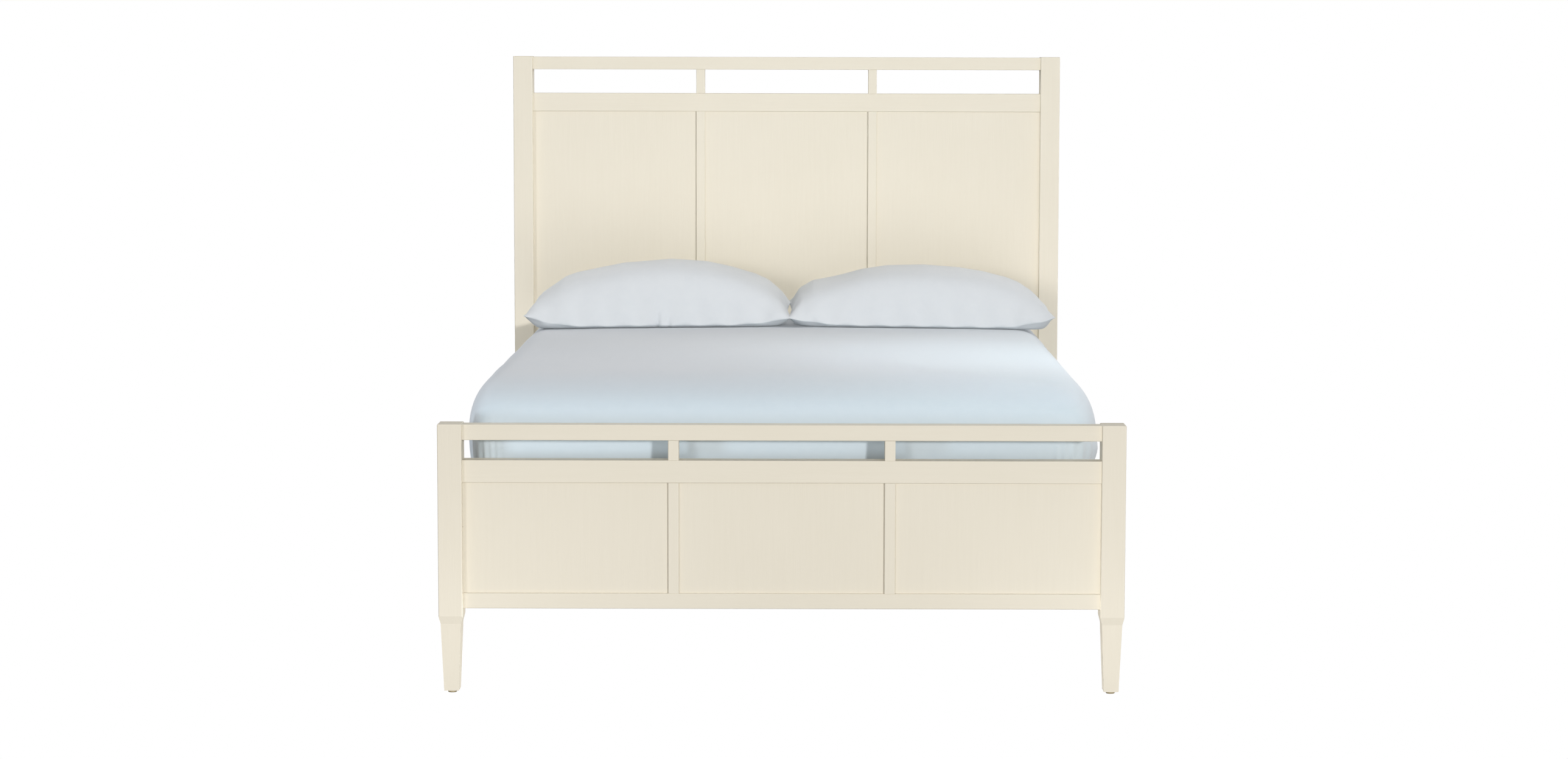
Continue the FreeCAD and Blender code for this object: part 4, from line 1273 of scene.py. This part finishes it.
BEAM_BLUE = (0.80, 0.95, 1.0)
SLOT_BLUE = (0.76, 0.88, 1.0)
LAMPS = (
    far_lamp("front_right", 30.0, 8.0, 5.0, 1.65, "not_headboard", "key_shadow"),
    far_lamp("headboard_right", 36.0, 8.0, 5.0, 1.43, "headboard_only", "key_shadow"),
    far_lamp("front_left", -28.0, 8.0, 14.0, 0.66),
    far_lamp("headboard_wash", 16.0, -14.0, 32.0, 0.85, "headboard_only", "wash_shadow"),
    far_lamp("back_right", 130.0, 14.0, 24.0, 0.85),
    far_lamp("back_left", -130.0, 14.0, 24.0, 0.85),
    Lamp("foot_glow", (-0.81, -1.55, 0.06), (-0.81, -1.07, 0.06), 0.25, 0.34),
    Lamp("foot_side", (-0.3, -1.07, 0.06), (-0.81, -1.07, 0.06), 0.12, 1.7, "foot_posts"),
    Lamp("foot_glow", (0.81, -1.55, 0.06), (0.81, -1.07, 0.06), 0.25, 0.34),
    Lamp("foot_side", (0.3, -1.07, 0.06), (0.81, -1.07, 0.06), 0.12, 1.7, "foot_posts"),
    Lamp("ceiling", (0.0, 0.1, 4.2), (0.0, 0.1, 0.0), 2.2, 29.0, "not_headboard"),
    Lamp(
        "sheet_beam", (1.3, -0.35, 5.0), (0.82, -0.35, 0.75), 0.6, 2.25, "sheet_only",
        colour=BEAM_BLUE, spread=26.0,
    ),
    Lamp(
        "slot_left", (-3.0, -3.0, 0.35), (0.0, -1.05, 0.6), 0.4, 30.0, "sheet_only", colour=SLOT_BLUE
    ),
    Lamp("pillow_end", (-2.6, 0.35, 1.5), (-0.75, 0.6, 0.85), 0.5, 7.0, "pillows_only"),
    Lamp("pillow_end", (2.6, 0.35, 1.5), (0.75, 0.6, 0.85), 0.5, 4.0, "pillows_only"),
    Lamp("floor_glow", (0.0, -2.3, 0.02), (0.0, -1.5, 0.9), 3.4, 5.0, depth=0.6),
)


@dataclass
class Studio:
    """Pale floor, soft lights and the camera of the photograph."""

    pillows: list[Piece]
    sheet: Piece
    floor_size: float = 60.0
    floor_tone: Colour = (0.3, 0.3, 0.3)
    sky_tone: Colour = (0.97, 0.985, 1.0)
    sky_strength: float = 0.36
    photo_width: float = 2576.0
    focal_pixels: float = 5312.0
    axis_pixels: float = 27.8
    camera_place: Place = (0.0462, -8.915, 1.533)
    pitch: float = 5.536
    roll: float = 0.130
    sensor: float = 36.0
    far_clip: float = 200.0

    def floor(self) -> None:
        """Lay a plain floor that the camera sees as white."""
        floor = added(bpy.ops.mesh.primitive_plane_add, size=self.floor_size)
        floor.name = "studio_floor"
        material, wiring, shader = start_material(
            "floor_white", Base_Color=rgba(self.floor_tone), Roughness=0.9, Specular_IOR_Level=0.0
        )
        glow = wiring.add("ShaderNodeEmission", {0: WHITE, 1: 1.0})
        surface = wiring.split_view(shader.outputs[0], glow.outputs[0])
        wiring.tree.links.new(surface, wiring.tree.nodes["Material Output"].inputs["Surface"])
        wear(floor, material)

    def world(self) -> None:
        """White surroundings, softer as a light than as a backdrop."""
        world = bpy.data.worlds.new("studio_world")
        bpy.context.scene.world = world
        world.use_nodes = True
        wiring = Wiring(world.node_tree)
        world.node_tree.nodes.clear()
        light = wiring.add("ShaderNodeBackground", {0: rgba(self.sky_tone), 1: self.sky_strength})
        backdrop = wiring.add("ShaderNodeBackground", {0: WHITE, 1: 1.0})
        surface = wiring.split_view(light.outputs[0], backdrop.outputs[0])
        wiring.add("ShaderNodeOutputWorld", {0: surface})

    @staticmethod
    def light_set(name: str, pieces: list[Piece], link: Link) -> bpy.types.Collection:
        """Gather pieces that a light is kept to, or kept from.

        Args:
            name: Name of the set.
            pieces: Its pieces.
            link: Whether the light takes them in or leaves them out.

        Returns:
            The set.
        """
        group = bpy.data.collections.new(name)
        for piece in pieces:
            group.objects.link(piece)
        for entry in group.collection_objects:
            entry.light_linking.link_state = link.value
        return group

    def light_sets(self) -> dict[str, bpy.types.Collection]:
        """Gather the sets that the lights name.

        Returns:
            The sets by name.
        """
        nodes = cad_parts
        headboard = [piece for node, piece in nodes.items() if node.startswith("headboard")]
        right_posts = [piece for node, piece in nodes.items() if node.endswith("post_right")]
        foot_posts = [nodes[f"footboard_post_{side.value}"] for side in Side]
        contents = {
            "not_headboard": (headboard, Link.LEAVE_OUT),
            "headboard_only": (headboard, Link.TAKE_IN),
            "sheet_only": ([self.sheet], Link.TAKE_IN),
            "pillows_only": (self.pillows, Link.TAKE_IN),
            "foot_posts": (foot_posts, Link.TAKE_IN),
            "key_shadow": ([*self.pillows, *right_posts], Link.LEAVE_OUT),
            "wash_shadow": ([*self.pillows, *headboard], Link.TAKE_IN),
        }
        return {name: self.light_set(name, *content) for name, content in contents.items()}

    def lights(self) -> None:
        """Add the lights and keep each to its sets of pieces."""
        sets = self.light_sets()
        for lamp in LAMPS:
            linking = lamp.add().light_linking
            linking.receiver_collection = sets.get(lamp.lit)
            linking.blocker_collection = sets.get(lamp.shaded_by)

    def camera(self) -> None:
        """Set the camera as the photograph's was."""
        data = bpy.data.cameras.new("photo_camera")
        camera = bpy.data.objects.new("photo_camera", data)
        bpy.context.scene.collection.objects.link(camera)
        data.sensor_width = self.sensor
        data.lens = self.focal_pixels / self.photo_width * self.sensor
        data.shift_x = -self.axis_pixels / self.photo_width
        data.clip_end = self.far_clip
        facing = Matrix.Rotation(math.radians(90.0 - self.pitch), 4, "X")
        roll = Matrix.Rotation(math.radians(self.roll), 4, "Z")
        camera.matrix_world = Matrix.Translation(self.camera_place) @ facing @ roll
        bpy.context.scene.camera = camera

    def build(self) -> None:
        """Set up the studio."""
        self.floor()
        self.world()
        self.lights()
        self.camera()
        bpy.context.scene.view_settings.view_transform = "Standard"
        log.info("studio is set")


def main() -> None:
    """Dress the bed's frame, make its bedding and set up the studio."""
    logging.basicConfig(level=logging.INFO, format="%(name)s: %(message)s")
    paints = {run: CREAM_PAINT.material(run) for run in GrainRun}
    for board in ("footboard", "headboard"):
        Board(board).dress(paints)
    SlatBase().dress(paints)
    Hardware().dress()
    sheet = FittedSheet()
    PaddedBlock(
        "box_spring",
        SPRING_TICKING,
        MATTRESS_TICKING,
        fill=0.9,
        corner=0.06,
        easing_top=0.012,
        easing_bottom=0.012,
        inset=0.006,
    ).build()
    PaddedBlock(
        "mattress",
        MATTRESS_TICKING,
        SPRING_TICKING,
        fill=0.85,
        corner=0.10,
        easing_top=0.085,
        easing_bottom=0.022,
        inset=0.004,
        tape_rise=0.026,
        tape_drop=0.150,
        under=sheet,
    ).build()
    cloth = sheet.build()
    left = Pillow(Side.LEFT, sheet, 2.0, LEFT_OUTLINE, pinch=0.04, tip_lifts=(0.036, 0.022))
    right = Pillow(Side.RIGHT, sheet, 11.0, RIGHT_OUTLINE, tip_lifts=(0.022, 0.034))
    pillows = [left.build(), right.build()]
    Studio(pillows, cloth).build()


if __name__ == "__main__":
    main()
